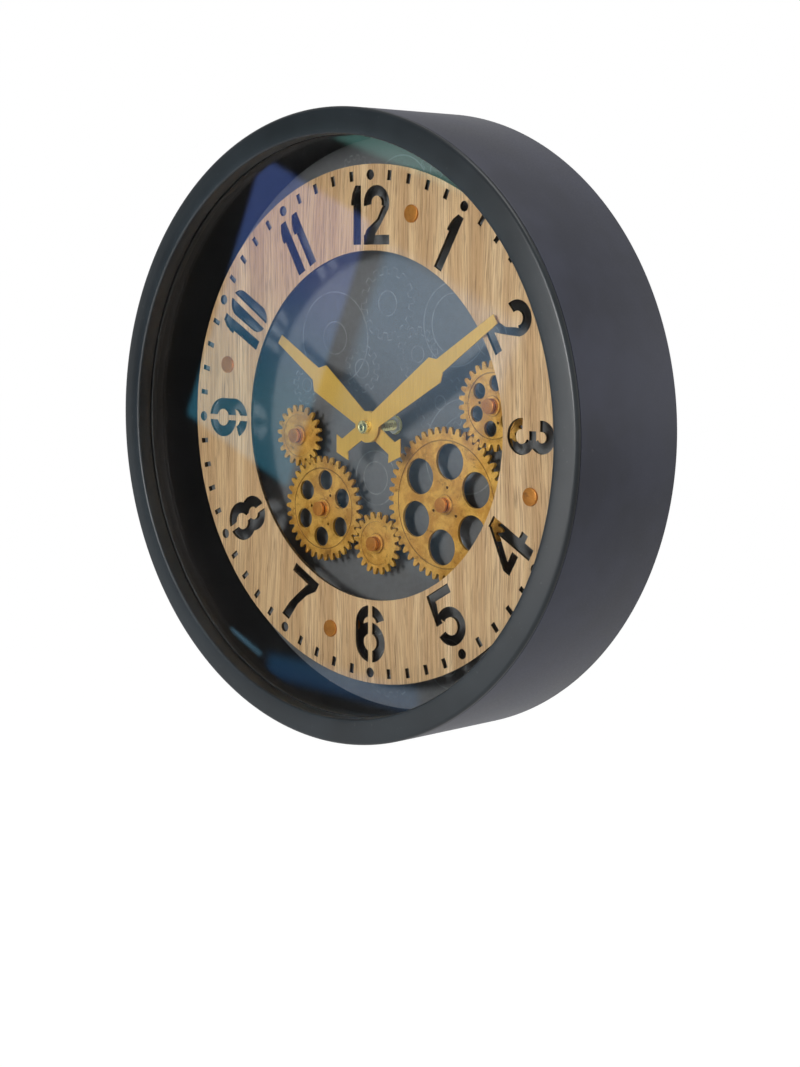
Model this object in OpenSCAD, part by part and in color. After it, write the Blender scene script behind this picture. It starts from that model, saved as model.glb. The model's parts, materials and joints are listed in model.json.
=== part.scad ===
// Wall clock with a glazed drum case, a cut-out wooden chapter ring and a working
// display train of brass gears in front of a printed dial plate.
// The wall plane is y = 0, the front faces -Y, and the hands turn about the Y axis.
// Heights in this file are measured from the wall plane towards the front.

/* [Case] */
// Outer diameter of the case
case_d = 450; // [440:1:560]
// Depth of the case from the wall to the outer edge of the rim
case_depth = 107; // [96:1:140]
// Wall of the rolled case band
band_wall = 2; // [1:0.5:4]
// Width of the front rim
rim_w = 19; // [15:0.5:24]
// Height of the rim's inner crest in front of its outer edge
rim_crest = 2; // [1:0.5:4]
// Depth of the bezel's edge in front of the shadow groove
rim_edge = 3.5; // [3:0.5:6]
// Width of the shadow groove between bezel and band
groove_w = 0.6; // [0.4:0.1:1.5]
// Width of the inward flange at the back of the band
flange_w = 18; // [14:1:22]
// Thickness of the inward flange
flange_t = 2; // [1:0.5:3]
// How far the flange is set in front of the wall plane
flange_set = 3.5; // [3:0.5:5]
// Thickness of the back panel
panel_t = 4; // [3:0.5:6]

/* [Glass] */
// Depth of the glass seat behind the rim's outer edge
glass_seat = 9.5; // [7:0.5:14]
// Thickness of the glass pane
glass_t = 3; // [2:0.5:4]
// Thickness of the gasket between bezel and glass
gasket_t = 1; // [0.5:0.5:2]
// How far the glass reaches under the bezel's lip
glass_hold = 7.5; // [4:0.5:10]
// Height of the ring that holds the glass in
retainer_h = 4.6; // [3:0.2:8]
// Wall of the inner sleeve
sleeve_wall = 2; // [1:0.5:3]

/* [Dial] */
// Height of the dial plate's front above the wall
dial_h = 37.5; // [36:0.5:44]
// Thickness of the dial plate
dial_t = 3; // [2:0.5:4]
// Gap between the chapter ring and the inner sleeve
ring_margin = 21.8; // [16:0.2:30]
// Width of the chapter ring
ring_w = 61; // [58:1:66]
// Thickness of the chapter ring
ring_t = 2.5; // [1.5:0.5:4]
// Gap between the dial plate and the back of the chapter ring
ring_standoff = 23.8; // [22:0.2:30]
// Height of the numerals
numeral_h = 42; // [36:1:43]
// Stroke of the numerals
stroke = 7.6; // [6:0.2:8.4]
// Width of the bridges that hold the counters of the numerals
bridge = 4; // [3:0.5:5]
// Gap between the numerals and the ring's outer edge
numeral_margin = 15; // [14:0.5:17]
// Gap between the middle of the minute track and the ring's outer edge
track_margin = 7.6; // [6:0.2:8]
// Diameter of the hour dots
dot_d = 7.4; // [5:0.2:8]
// Width of the minute marks
tick_w = 3.7; // [2:0.1:5]
// Length of the minute marks
tick_len = 7.1; // [5:0.1:8]

/* [Hands] */
// Thickness of the hands
hand_t = 0.8; // [0.5:0.1:1.2]
// How far the minute hand reaches over the chapter ring
minute_reach = 19; // [8:1:24]
// How far the hour hand stays inside the chapter ring
hour_gap = 15; // [8:1:30]
// Gap between the backs of the two hands
hand_pitch = 2.8; // [2.4:0.1:3]
// Radius of the hands' hubs
hand_hub_r = 11.4; // [8:0.2:14]
// Hour that the hands show
shown_hour = 10; // [0:1:11]
// Minutes that the hands show
shown_minute = 9.5; // [0:0.5:59.5]
// Angle by which the hour hand is pressed on behind its true place
hour_lag = 1.4; // [0:0.1:5]

/* [Display gears] */
// Thickness of the gears
gear_t = 2.4; // [1.5:0.1:3]
// Gap between the dial plate and the gears
gear_standoff = 11.5; // [10:0.5:14]
// Teeth of the main gear
main_teeth = 50; // [46:1:52]
// Teeth of the right gear
right_teeth = 28; // [24:1:30]
// Teeth of the bottom gear
bottom_teeth = 20; // [18:1:22]
// Teeth of the lower left gear
lower_left_teeth = 35; // [32:1:36]
// Teeth of the upper left gear
upper_left_teeth = 20; // [18:1:22]
// Clear gap between the main gear and the centre of the hands
hub_clear = 26.3; // [24:0.5:30]
// Clear gap between the main gear and the ring's pillars
pillar_clear = 14.9; // [10:0.5:20]
// Radius of the gear posts and of the drive shaft
post_r = 2.5; // [2:0.1:3]
// Radius of the copper caps on the gear posts
cap_r = 5.3; // [4.5:0.1:6]

/* [Movement] */
// Side of the clock movement's housing
move_w = 56; // [55:1:60]
// Wall of the plastic housings
shell_t = 1.5; // [1.2:0.1:2]
// Outer radius of the movement's threaded bush
bush_r = 3.975; // [3.9:0.025:4.2]

/* [Hidden] */
$fn = 96;
run_fit = 0.05;   // radial running clearance of a shaft in its bearing
seat_fit = 0.02;  // radial clearance of a fixed pin in its hole
loose_fit = 0.3;  // clearance between parts that only lie beside each other
end_play = 0.1;   // axial play of a turning part
thin = 0.01;      // overlap of a cutting shape past the face that it cuts

// Case
case_r = case_d / 2;
band_in_r = case_r - band_wall;
lip_r = case_r - rim_w;
lip_step = 2.8;                               // the sleeve stands back from the lip
spigot_r = band_in_r - run_fit;
seat_h = case_depth - glass_seat;             // underside of the bezel's lip
glass_front_h = seat_h - gasket_t;
glass_back_h = glass_front_h - glass_t;
spigot_h = glass_back_h - retainer_h;         // lower end of bezel and retainer
pocket_r = lip_r + glass_hold + 0.5;
band_front_h = case_depth - rim_edge - groove_w;
sleeve_r = lip_r + lip_step;
flange_in_r = band_in_r - flange_w;
panel_back_h = flange_set + flange_t;
panel_front_h = panel_back_h + panel_t;
panel_r = band_in_r - 1;
window_x = [-45, 112];                        // window of the back panel
window_z = [-120, 45];
window_round = 8;

// Dial plate and chapter ring
dial_back_h = dial_h - dial_t;
ring_r = sleeve_r - ring_margin;
ring_hole_r = ring_r - ring_w;
ring_back_h = dial_h + ring_standoff;
ring_front_h = ring_back_h + ring_t;
numeral_top_r = ring_r - numeral_margin;
numeral_mid_r = numeral_top_r - numeral_h / 2;
track_r = ring_r - track_margin;
pillar_circle_r = ring_r - ring_w / 2;
pillar_r = 4.5;
pillar_angles = [15, 105, 195, 285];
pillar_cap_r = 6.3;
pillar_cap_t = 1.5;
spacer_r = 7;
spacer_circle_r = flange_in_r - 15;
spacer_angles = [30, 90, 150, 210, 270, 330];
m4_r = 2;

// Hands
hour_hand_h = ring_front_h + end_play;
minute_hand_h = hour_hand_h + hand_pitch;
minute_len = ring_hole_r + minute_reach;
hour_len = ring_hole_r - hour_gap;
minute_angle = 6 * shown_minute;
hour_angle = 30 * shown_hour + shown_minute / 2 - hour_lag;
arbor_r = 1.7;
pipe_in_r = arbor_r + run_fit;
pipe_r = 2.7;
bush_in_r = pipe_r + run_fit;
bush_top_h = hour_hand_h - 1.4;
pipe_top_h = hour_hand_h + hand_t + 0.6;
nut_r = 4.75;
nut_h = 4.7;

// Display gear train; angles run clockwise from twelve, seen from the front
gear_back_h = dial_h + gear_standoff;
gear_front_h = gear_back_h + gear_t;
addendum = 0.7;
dedendum = 1.5;
tooth_fill = 0.46;
main_tip_r = (pillar_circle_r - pillar_r - pillar_clear - hub_clear) / 2;
gear_m = main_tip_r / (main_teeth / 2 + addendum);
main_angle = 130.5;
main_xy = polar(hub_clear + main_tip_r, main_angle);
right_dir = 31.5;
right_xy = main_xy + polar(mesh_distance(main_teeth, right_teeth, gear_m), right_dir);
bottom_dir = 244;
bottom_xy = main_xy + polar(mesh_distance(main_teeth, bottom_teeth, gear_m), bottom_dir);
lower_left_dir = 291.5;
lower_left_xy = bottom_xy
    + polar(mesh_distance(bottom_teeth, lower_left_teeth, gear_m), lower_left_dir);
upper_left_dir = 334;
upper_left_xy = lower_left_xy
    + polar(mesh_distance(lower_left_teeth, upper_left_teeth, gear_m), upper_left_dir);
main_phase = 4.7;
right_phase = mesh_phase(main_teeth, main_phase, right_teeth, right_dir);
bottom_phase = mesh_phase(main_teeth, main_phase, bottom_teeth, bottom_dir);
lower_left_phase = mesh_phase(bottom_teeth, bottom_phase, lower_left_teeth, lower_left_dir);
upper_left_phase =
    mesh_phase(lower_left_teeth, lower_left_phase, upper_left_teeth, upper_left_dir);
post_places = [right_xy, bottom_xy, lower_left_xy, upper_left_xy];
boss_r = 6.8;
boss_h = 1;
cap_base_h = gear_front_h + boss_h + end_play;
cap_h = 5;
pin_top_h = cap_base_h + 3.4;

// Clock movement
move_front_h = dial_back_h;
move_depth = 15;
move_back_h = move_front_h - move_depth;
move_z = [-29, move_w / 2];
cell_r = 7.25;
cell_len = 50.5;
cell_nub = 1.2;
cell_h = move_front_h - shell_t - cell_r - 0.1;
cell_z = move_z[0] + shell_t + cell_r + 0.2;
bay_top_z = cell_z + cell_r + 0.2;
inner_w = move_w - 2 * shell_t;
motion_m = 0.5;
cannon_teeth = 12;
motion_teeth = 36;
hour_m = 0.48;
motion_pinion_teeth = 10;
hour_teeth = 40;
motion_dir = 60;
motion_xy = polar(mesh_distance(cannon_teeth, motion_teeth, motion_m), motion_dir);
motion_phase = mesh_phase(cannon_teeth, 0, motion_teeth, motion_dir);
hour_phase = mesh_phase(motion_pinion_teeth, 0, hour_teeth, motion_dir + 180);
train_m = 0.3;
centre_teeth = 60;
third_pinion_teeth = 8;
third_dir = 300;
third_xy = polar(mesh_distance(centre_teeth, third_pinion_teeth, train_m), third_dir);
third_phase = mesh_phase(centre_teeth, 0, third_pinion_teeth, third_dir);
wheel_front_h = move_front_h - shell_t;       // inside of the housing's front wall
hour_wheel_h = wheel_front_h - 1.8;
motion_wheel_h = wheel_front_h - 5;
centre_wheel_h = wheel_front_h - 8;
third_wheel_h = wheel_front_h - 11;
rotor_xy = [3, 21];
rotor_r = 2.6;
stator_h = wheel_front_h - 8;
knob_r = 8;
knob_h = move_back_h - shell_t - 6;

// Gear motor; its places are measured from the main gear's axis
box_front_h = dial_back_h;
box_depth = 20.5;
box_back_h = box_front_h - box_depth;
box_x = [-32, 32];
box_z = [-53, 14];
bay_wall_z = -19;
motor_cells_z = [-28, -43.5];
motor_cell_h = box_front_h - shell_t - cell_r - 0.05;
drive_m = 0.6;
drive_wheel_teeth = 36;
drive_pinion_teeth = 12;
drive_dist = mesh_distance(drive_wheel_teeth, drive_pinion_teeth, drive_m);
reduction_xy = [-drive_dist, 0];
motor_dir = 140;
motor_xy = reduction_xy + polar(drive_dist, motor_dir);
output_wheel_h = box_front_h - shell_t - 3.5;
reduction_wheel_h = box_front_h - shell_t - 6.5;
reduction_phase = mesh_phase(drive_wheel_teeth, 0, drive_pinion_teeth, 270);
motor_phase = mesh_phase(drive_wheel_teeth, 0, drive_pinion_teeth, motor_dir);
motor_can_r = 6;
motor_front_h = reduction_wheel_h - 0.8;
ear_places = [[-36, 6], [36, 6], [-36, -45], [36, -45]];
ear_r = 4;
ear_t = 2;
switch_xy = [21, -9];
switch_travel = 3;
contact_side = 9;
lead_r = 0.7;
crimp_r = 1.1;
crimp_h = 1.9;
lead_x = 28;

// ---------- functions ----------

// Height of the leads' centre line, behind the cells' contact plates
function lead_h() = motor_cell_h - contact_side / 2 - lead_r;

// Height of the switch body, whose front the leads are soldered to
function switch_h() = lead_h() - lead_r - box_back_h;

// Point at distance r and clockwise angle a from twelve
function polar(r, a) = [r * sin(a), r * cos(a)];

// Centre distance of two meshed gears
function mesh_distance(n1, n2, m) = m * (n1 + n2) / 2;

// Clockwise angle of a tooth on gear 2 that meshes with gear 1 in direction dir
function mesh_phase(n1, phase1, n2, dir) =
    (dir + 180) - (180 - n1 * (dir - phase1)) / n2;

// Points on an arc about c, counter-clockwise from angle a0 to a1
function arc_points(c, r, a0, a1, n) =
    [for (i = [0:n]) c + r * [cos(a0 + (a1 - a0) * i / n), sin(a0 + (a1 - a0) * i / n)]];

// Involute function of a pressure angle, in degrees
function involute(a) = tan(a) * 180 / PI - a;

// Half the angle that an involute tooth of n teeth covers at radius r
function tooth_half(n, pitch_r, base_r, r) =
    180 * tooth_fill / n + involute(acos(base_r / pitch_r))
    - involute(acos(min(1, base_r / r)));

// Mirrored outline of a hand: [distance along, half width] on one side, tail first
function hand_outline(side) = concat(
    [for (p = side) [p[1], p[0]]],
    [for (i = [len(side) - 1:-1:0]) [-side[i][1], side[i][0]]]
);

// ---------- shared shapes ----------

// Stand a flat drawing up at height h, so that it grows towards the front
module at(h) { translate([0, -h, 0]) rotate([90, 0, 0]) children(); }

// Place children at a front-view point of a standing drawing
module place(xy) { translate([xy[0], xy[1], 0]) children(); }

// Repeat children at radius r and each clockwise angle
module around(r, angles) {
    for (a = angles) place(polar(r, a)) children();
}

module tube(h, r, in_r) {
    difference() {
        cylinder(h = h, r = r);
        translate([0, 0, -thin]) cylinder(h = h + 2 * thin, r = in_r);
    }
}

module rounded_rect(size, r) {
    x = size[0] / 2;
    y = size[1] / 2;
    union() {
        square([2 * x - 2 * r, 2 * y], center = true);
        square([2 * x, 2 * y - 2 * r], center = true);
        for (sx = [-1, 1], sy = [-1, 1]) translate([sx * (x - r), sy * (y - r)]) circle(r);
    }
}

module box_between(x, z, depth, r) {
    translate([(x[0] + x[1]) / 2, (z[0] + z[1]) / 2])
        linear_extrude(depth) rounded_rect([x[1] - x[0], z[1] - z[0]], r);
}

// Screw with a pan head that lies behind its shank
module screw(r, shank, head_r, head_h) {
    difference() {
        translate([0, 0, -head_h]) cylinder(h = head_h, r = head_r);
        for (a = [0, 90]) rotate(a)
            translate([0, 0, -head_h]) cube([head_r * 1.3, head_r / 4, head_h], center = true);
    }
    cylinder(h = shank, r = r);
}

// Flat outline of a spur gear with rounded-off tooth tips
module gear_outline(n, m, phase) {
    pitch_r = m * n / 2;
    base_r = pitch_r * cos(20);
    root_r = pitch_r - dedendum * m;
    tip_r = pitch_r + addendum * m;
    flank_r = max(base_r, root_r);
    bevel = 0.22 * m;
    steps = 3;
    radii = [for (i = [0:steps]) flank_r + (tip_r - bevel - flank_r) * i / steps];
    halves = [for (r = radii) tooth_half(n, pitch_r, base_r, r)];
    tip_half = tooth_half(n, pitch_r, base_r, tip_r) * 0.55;
    foot_half = halves[0] + 0.14 * 180 / n;
    rise = concat([[root_r, foot_half]], [for (i = [0:steps]) [radii[i], halves[i]]],
        [[tip_r, tip_half]]);
    last = len(rise) - 1;
    polygon([
        for (k = [0:n - 1])
            for (j = [0:2 * last + 1])
                let (side = j <= last ? -1 : 1, i = j <= last ? j : 2 * last + 1 - j)
                    polar(rise[i][0], phase + 360 * k / n + side * rise[i][1])
    ]);
}

module gear(n, m, phase, t, bore_r) {
    linear_extrude(t) difference() {
        gear_outline(n, m, phase);
        circle(bore_r);
    }
}

// One display gear: six holes, three small pin holes, a turned line and a front boss
module display_gear(n, phase, bore_r, hole_circle, hole_r, hole_angle, line_inset, recess) {
    root_r = gear_m * (n / 2 - dedendum);
    line_r = root_r - line_inset;
    line_w = 0.9;
    relief = 0.5;
    difference() {
        union() {
            linear_extrude(gear_t) difference() {
                gear_outline(n, gear_m, phase);
                if (hole_r > 0) {
                    around(hole_circle, [for (k = [0:5]) hole_angle + 60 * k]) circle(hole_r);
                    around(12.5, [for (k = [0:2]) hole_angle + 30 * recess + 120 * k])
                        circle(1.1);
                }
            }
            cylinder(h = gear_t + boss_h, r = boss_r);
        }
        translate([0, 0, -thin]) cylinder(h = gear_t + boss_h + 2 * thin, r = bore_r);
        translate([0, 0, gear_t - relief])
            tube(relief + thin, line_r, hole_r > 0 ? line_r - line_w : boss_r);
    }
}

// Round cell with its contact nub towards +x
module aa_cell() {
    translate([-cell_len / 2, 0, 0]) rotate([0, 90, 0]) {
        cylinder(h = cell_len - cell_nub, r = cell_r);
        cylinder(h = cell_len, r = 2.75);
    }
}

// Contact blocks at both ends of a cell
module cell_contacts(gap) {
    for (s = [-1, 1]) translate([s * (cell_len / 2 + gap / 2), 0, 0])
        cube([gap, contact_side, contact_side], center = true);
}

// ---------- numerals, each with its foot at y = 0 and centred on x = 0 ----------

// Band between two radii from angle a0 counter-clockwise to a1, under 180 degrees at a time
module arc_band(r, in_r, a0, a1) {
    mid = (a0 + a1) / 2;
    far = 3 * r;
    intersection() {
        difference() {
            circle(r);
            circle(in_r);
        }
        union() {
            polygon([[0, 0], far * [cos(a0), sin(a0)], far * [cos(mid), sin(mid)]]);
            polygon([[0, 0], far * [cos(mid), sin(mid)], far * [cos(a1), sin(a1)]]);
        }
    }
}

module one() {
    h = numeral_h;
    polygon([[-stroke / 2, 0], [stroke / 2, 0], [stroke / 2, h], [-stroke * 0.25, h],
        [-stroke * 0.62, h - 5], [-stroke * 0.8, h - 11], [-stroke * 0.8, h - 14],
        [-stroke / 2, h - 14]]);
}

module two() {
    r = 12.6;
    c = numeral_h - r;
    translate([0, c]) arc_band(r, r - stroke, -20, 190);
    start = r - stroke * 0.7;
    polygon([[r * cos(20), c - r * sin(20)], [start * cos(12), c - start * sin(12)],
        [4.7, c - 4.2], [0.5, c - 11.5], [-9.6, 11], [-r + 0.4, 6], [-r, 0], [-1.5, 0],
        [-1.5, stroke * 0.9], [6.2, c - 12.5]]);
    translate([-r, 0]) square([2 * r, stroke * 0.9]);
}

module three() {
    low_r = 12.6;
    high_r = 11.4;
    bar = stroke * 0.8;
    waist = numeral_h - 2 * high_r + bar / 2;
    translate([0, low_r]) {
        arc_band(low_r, low_r - stroke, -180, 0);
        arc_band(low_r, low_r - stroke, 0, 70);
    }
    translate([-low_r, low_r - 0.5]) square([stroke, 1.5]);
    translate([0, numeral_h - high_r]) {
        arc_band(high_r, high_r - stroke, -62, 180);
    }
    translate([-high_r, numeral_h - high_r - 1.5]) square([stroke, 2]);
    translate([-4, waist - bar / 2 + 0.3]) square([10, bar]);
}

module four() {
    left = -17;
    stem_x = 1.8;
    stem_w = stroke * 1.15;
    bar_y = 9;
    bar_h = 6.2;
    gap = bridge * 0.75;
    difference() {
        union() {
            translate([stem_x, 0]) square([stem_w, numeral_h]);
            polygon([[left, bar_y], [stem_x + 1, bar_y], [stem_x + 1, bar_y + bar_h],
                [left + stroke, bar_y + bar_h], [stem_x + 1, numeral_h - 11],
                [stem_x + 1, numeral_h], [left, bar_y + bar_h]]);
            translate([stem_x + stem_w - 1, bar_y]) square([6.5, bar_h]);
        }
        translate([stem_x - gap, -1]) square([gap, 15 + bar_h]);
    }
}

module five() {
    r = 14;
    translate([0, r]) {
        arc_band(r, r - stroke, -170, 0);
        arc_band(r, r - stroke, 0, 128);
    }
    polygon([[-12.6, 19], [-6, 19], [-6.6, 26.5], [-4.6, 33], [-5.4, numeral_h],
        [-11, numeral_h]]);
    translate([-11, numeral_h - stroke * 0.9]) square([23, stroke * 0.9]);
}

module six() {
    r = 14.8;
    low = r;
    high = numeral_h - r;
    difference() {
        union() {
            translate([0, low]) difference() {
                circle(r);
                circle(r - stroke - 0.8);
            }
            translate([0, high]) arc_band(r, r - stroke - 0.4, 20, 180);
            translate([-r, low]) square([stroke + 0.6, high - low]);
        }
        translate([-bridge / 2, -1]) square([bridge, numeral_h + 2]);
    }
}

module seven() {
    top = numeral_h - stroke * 0.9;
    translate([-14, top]) square([28, stroke * 0.9]);
    polygon([[14, top + 1], [14, top], [7.5, top - 8], [2.8, top - 19], [0.6, 0], [-7.6, 0],
        [-5.2, 12], [-1.2, 22.5], [4.6, top + 1]]);
}

module eight() {
    low_r = 14.6;
    high_r = 13.2;
    difference() {
        union() {
            translate([0, low_r]) circle(low_r);
            translate([0, numeral_h - high_r]) circle(high_r);
        }
        translate([0, low_r]) circle(low_r - stroke - 0.8);
        translate([0, numeral_h - high_r]) circle(high_r - stroke - 0.8);
        translate([-bridge / 2, -1]) square([bridge, numeral_h + 2]);
    }
}

module nine() { translate([0, numeral_h]) rotate(180) six(); }

module zero() {
    r = 10.3;
    difference() {
        translate([0, numeral_h / 2]) union() {
            square([2 * r, numeral_h - 2 * r], center = true);
            for (s = [-1, 1]) translate([0, s * (numeral_h / 2 - r)]) circle(r);
        }
        translate([0.4, numeral_h / 2]) rotate(-3.5)
            square([bridge * 1.1, numeral_h + 6], center = true);
    }
}

module numeral(hour) {
    if (hour == 1) one();
    if (hour == 2) two();
    if (hour == 3) three();
    if (hour == 4) four();
    if (hour == 5) five();
    if (hour == 6) six();
    if (hour == 7) seven();
    if (hour == 8) eight();
    if (hour == 9) nine();
    if (hour == 10) {
        translate([-11, 0]) one();
        translate([6.8, 0]) zero();
    }
    if (hour == 11) {
        translate([-5.4, 0]) one();
        translate([7.8, 0]) one();
    }
    if (hour == 12) {
        translate([-13, 0]) one();
        translate([6.2, 0]) two();
    }
}

// ---------- case ----------

module case_band() {
    color("#2b2c2f") at(0) tube(band_front_h, case_r, band_in_r);
}

// Flat ring welded inside the band's back edge; the back panel is screwed to it
module case_flange() {
    color("#2b2c2f") at(flange_set) difference() {
        tube(flange_t, band_in_r, flange_in_r);
        around(flange_screw_r(), flange_screw_angles())
            translate([0, 0, -thin]) cylinder(h = flange_t + 1, r = m4_r + loose_fit);
    }
}

function flange_screw_r() = (flange_in_r + panel_r) / 2;
function flange_screw_angles() = [for (k = [0:7]) 22.5 + 45 * k];

module front_bezel() {
    edge_round = 2.5;
    crest_round = 1.5;
    crest_x = lip_r + crest_round;
    face_x = case_r - edge_round;
    crest_y = case_depth + rim_crest - crest_round;
    dome = [for (i = [1:7])
        let (u = 1 - i / 8)
            [crest_x + (face_x - crest_x) * u, case_depth + rim_crest * (1 - u * u)]];
    color("#26282b") at(0) rotate_extrude($fn = 180) polygon(concat(
        [[pocket_r, spigot_h], [spigot_r, spigot_h], [spigot_r, band_front_h],
            [band_in_r + 1, band_front_h], [band_in_r + 1, band_front_h + groove_w],
            [case_r, band_front_h + groove_w]],
        arc_points([face_x, case_depth - edge_round], edge_round, 0, 90, 6),
        dome,
        arc_points([crest_x, crest_y], crest_round, 90, 180, 4),
        [[lip_r, seat_h], [pocket_r, seat_h]]
    ));
}

module glass_gasket() {
    color("#141414") at(glass_front_h) tube(gasket_t, pocket_r - loose_fit, lip_r + 0.6);
}

module glass_pane() {
    color("#cfe3ea", 0.35) at(glass_back_h) cylinder(h = glass_t, r = pocket_r - loose_fit);
}

module glass_retainer() {
    color("#1c1c1d") at(spigot_h) tube(retainer_h, pocket_r - seat_fit, lip_r);
}

module inner_sleeve() {
    color("#121315") at(dial_h) tube(spigot_h - dial_h, sleeve_r + sleeve_wall, sleeve_r);
}

module back_panel() {
    color("#1f1f20") at(panel_back_h) difference() {
        cylinder(h = panel_t, r = panel_r);
        translate([0, 0, -thin]) {
            box_between(window_x, window_z, panel_t + 2 * thin, window_round);
            around(flange_screw_r(), flange_screw_angles()) cylinder(h = panel_t + 1, r = m4_r);
            around(spacer_circle_r, spacer_angles)
                cylinder(h = panel_t + 1, r = m4_r + loose_fit);
            place([0, hanger_z()]) cylinder(h = panel_t + 1, r = hanger_pocket_r());
        }
        for (x = hanger_screw_x()) translate([x, hanger_z(), -thin])
            cylinder(h = panel_t - 0.5, r = 1.4);
    }
}

module panel_screws() {
    color("#8f9296") {
        at(flange_set) around(flange_screw_r(), flange_screw_angles())
            screw(m4_r - seat_fit, flange_t + panel_t, 3.5, 1.9);
        at(panel_back_h) around(spacer_circle_r, spacer_angles)
            screw(m4_r - seat_fit, panel_t + 9, 3.5, 1.9);
    }
}

function hanger_z() = spacer_circle_r - 20;
function hanger_pocket_r() = 11;
function hanger_screw_x() = [-19, 19];

module hanger_plate() {
    color("#a9adb1") at(panel_back_h - 1.2) place([0, hanger_z()]) linear_extrude(1.2)
        difference() {
            rounded_rect([50, 26], 5);
            circle(5);
            translate([-2.5, 0]) square([5, 8.5]);
            translate([0, 8.5]) circle(2.5);
            for (x = hanger_screw_x()) translate([x, 0]) circle(1.6);
        }
}

module hanger_screws() {
    color("#c8cacc") at(panel_back_h - 1.2) for (x = hanger_screw_x())
        place([x, hanger_z()]) screw(1.4 - seat_fit, 1.2 + panel_t - 0.8, 2.8, 1.4);
}

module dial_spacers() {
    color("#3a3a3c") at(panel_front_h) around(spacer_circle_r, spacer_angles) difference() {
        cylinder(h = dial_back_h - panel_front_h, r = spacer_r);
        translate([0, 0, -thin]) cylinder(h = 12, r = m4_r);
    }
}

// ---------- dial ----------

module dial_plate() {
    color("#4d565e") at(dial_back_h) difference() {
        cylinder(h = dial_t, r = panel_r);
        translate([0, 0, -thin]) {
            cylinder(h = dial_t + 1, r = bush_r + loose_fit);
            around(pillar_circle_r, pillar_angles) cylinder(h = dial_t + 1, r = m4_r + loose_fit);
            for (p = post_places) place(p) cylinder(h = dial_t + 1, r = m4_r + seat_fit);
            place(main_xy) cylinder(h = dial_t + 1, r = post_r + 2 + seat_fit);
            for (p = ear_places) place(main_xy + p) cylinder(h = dial_t - 0.6, r = 1.4);
        }
    }
}

module chapter_ring() {
    color("#c6a477") at(ring_back_h) linear_extrude(ring_t) difference() {
        circle(ring_r, $fn = 180);
        circle(ring_hole_r, $fn = 180);
        around(pillar_circle_r, pillar_angles) circle(m4_r + loose_fit);
        for (minute = [0:59]) rotate(-6 * minute) translate([0, track_r])
            if (minute % 5 == 0) circle(dot_d / 2, $fn = 40);
            else square([tick_w, tick_len], center = true);
        for (hour = [1:12]) rotate(-30 * hour) translate([0, numeral_mid_r])
            rotate(hour >= 4 && hour <= 8 ? 180 : 0) translate([0, -numeral_h / 2])
                numeral(hour);
    }
}

module chapter_pillars() {
    color("#b5763a") at(dial_h) around(pillar_circle_r, pillar_angles) difference() {
        cylinder(h = ring_standoff, r = pillar_r);
        translate([0, 0, -thin]) cylinder(h = 8, r = m4_r);
        translate([0, 0, ring_standoff - 8]) cylinder(h = 8 + thin, r = m4_r);
    }
}

module chapter_caps() {
    color("#b5763a") at(ring_front_h) around(pillar_circle_r, pillar_angles) {
        cylinder(h = pillar_cap_t, r = pillar_cap_r);
        translate([0, 0, -ring_t - 7]) cylinder(h = ring_t + 7 + thin, r = m4_r - seat_fit);
    }
}

module pillar_screws() {
    color("#8f9296") at(dial_back_h) around(pillar_circle_r, pillar_angles)
        screw(m4_r - seat_fit, dial_t + 7, 3.5, 1.9);
}

// ---------- display gears ----------

module gear_posts() {
    color("#8a6a3c") at(0) for (p = post_places) place(p) {
        translate([0, 0, dial_back_h - 4]) cylinder(h = dial_t + 4.5, r = m4_r);
        translate([0, 0, dial_h]) cylinder(h = gear_standoff - end_play, r = post_r + 2.5);
        translate([0, 0, dial_h]) cylinder(h = pin_top_h - dial_h, r = post_r);
    }
}

module gear_post_nuts() {
    color("#8f9296") at(dial_back_h - 2.8) for (p = post_places) place(p) difference() {
        cylinder(h = 2.8, r = 4, $fn = 6);
        translate([0, 0, -thin]) cylinder(h = 3, r = m4_r + seat_fit);
    }
}

// Turned copper cap: collar, neck and flat front disc over a blind hole
module post_cap() {
    collar = 1.8;
    neck = 1.1;
    difference() {
        union() {
            cylinder(h = collar, r = cap_r);
            cylinder(h = cap_h, r = cap_r - 1.2);
            translate([0, 0, collar + neck]) cylinder(h = cap_h - collar - neck, r = cap_r);
        }
        translate([0, 0, -thin])
            cylinder(h = pin_top_h - cap_base_h + 0.1 + thin, r = post_r + seat_fit);
    }
}

module gear_post_caps() {
    color("#b5763a") at(cap_base_h) for (p = post_places) place(p) post_cap();
}

module drive_bush() {
    color("#b08d3c") at(dial_back_h) place(main_xy) difference() {
        union() {
            cylinder(h = dial_t + 2, r = post_r + 2);
            translate([0, 0, dial_t]) cylinder(h = 1.5, r = post_r + 4.5);
        }
        translate([0, 0, -thin]) cylinder(h = dial_t + 3, r = post_r + run_fit);
    }
}

module main_gear() {
    color("#b8893f") at(gear_back_h) place(main_xy)
        display_gear(main_teeth, main_phase, post_r + seat_fit, 31, 12.9, 7, 4.4, 0);
}

module right_gear() {
    color("#b8893f") at(gear_back_h) place(right_xy)
        display_gear(right_teeth, right_phase, post_r + run_fit, 16.1, 5.7, 8, 3.4, 1);
}

module bottom_gear() {
    color("#b8893f") at(gear_back_h) place(bottom_xy)
        display_gear(bottom_teeth, bottom_phase, post_r + run_fit, 0, 0, 0, 2.2, 0);
}

module lower_left_gear() {
    color("#b8893f") at(gear_back_h) place(lower_left_xy)
        display_gear(lower_left_teeth, lower_left_phase, post_r + run_fit, 21.4, 7.4, 6, 3.9, 1);
}

module upper_left_gear() {
    color("#b8893f") at(gear_back_h) place(upper_left_xy)
        display_gear(upper_left_teeth, upper_left_phase, post_r + run_fit, 0, 0, 0, 2.2, 0);
}

module main_gear_cap() {
    color("#b5763a") at(cap_base_h - end_play) place(main_xy) post_cap();
}

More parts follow.
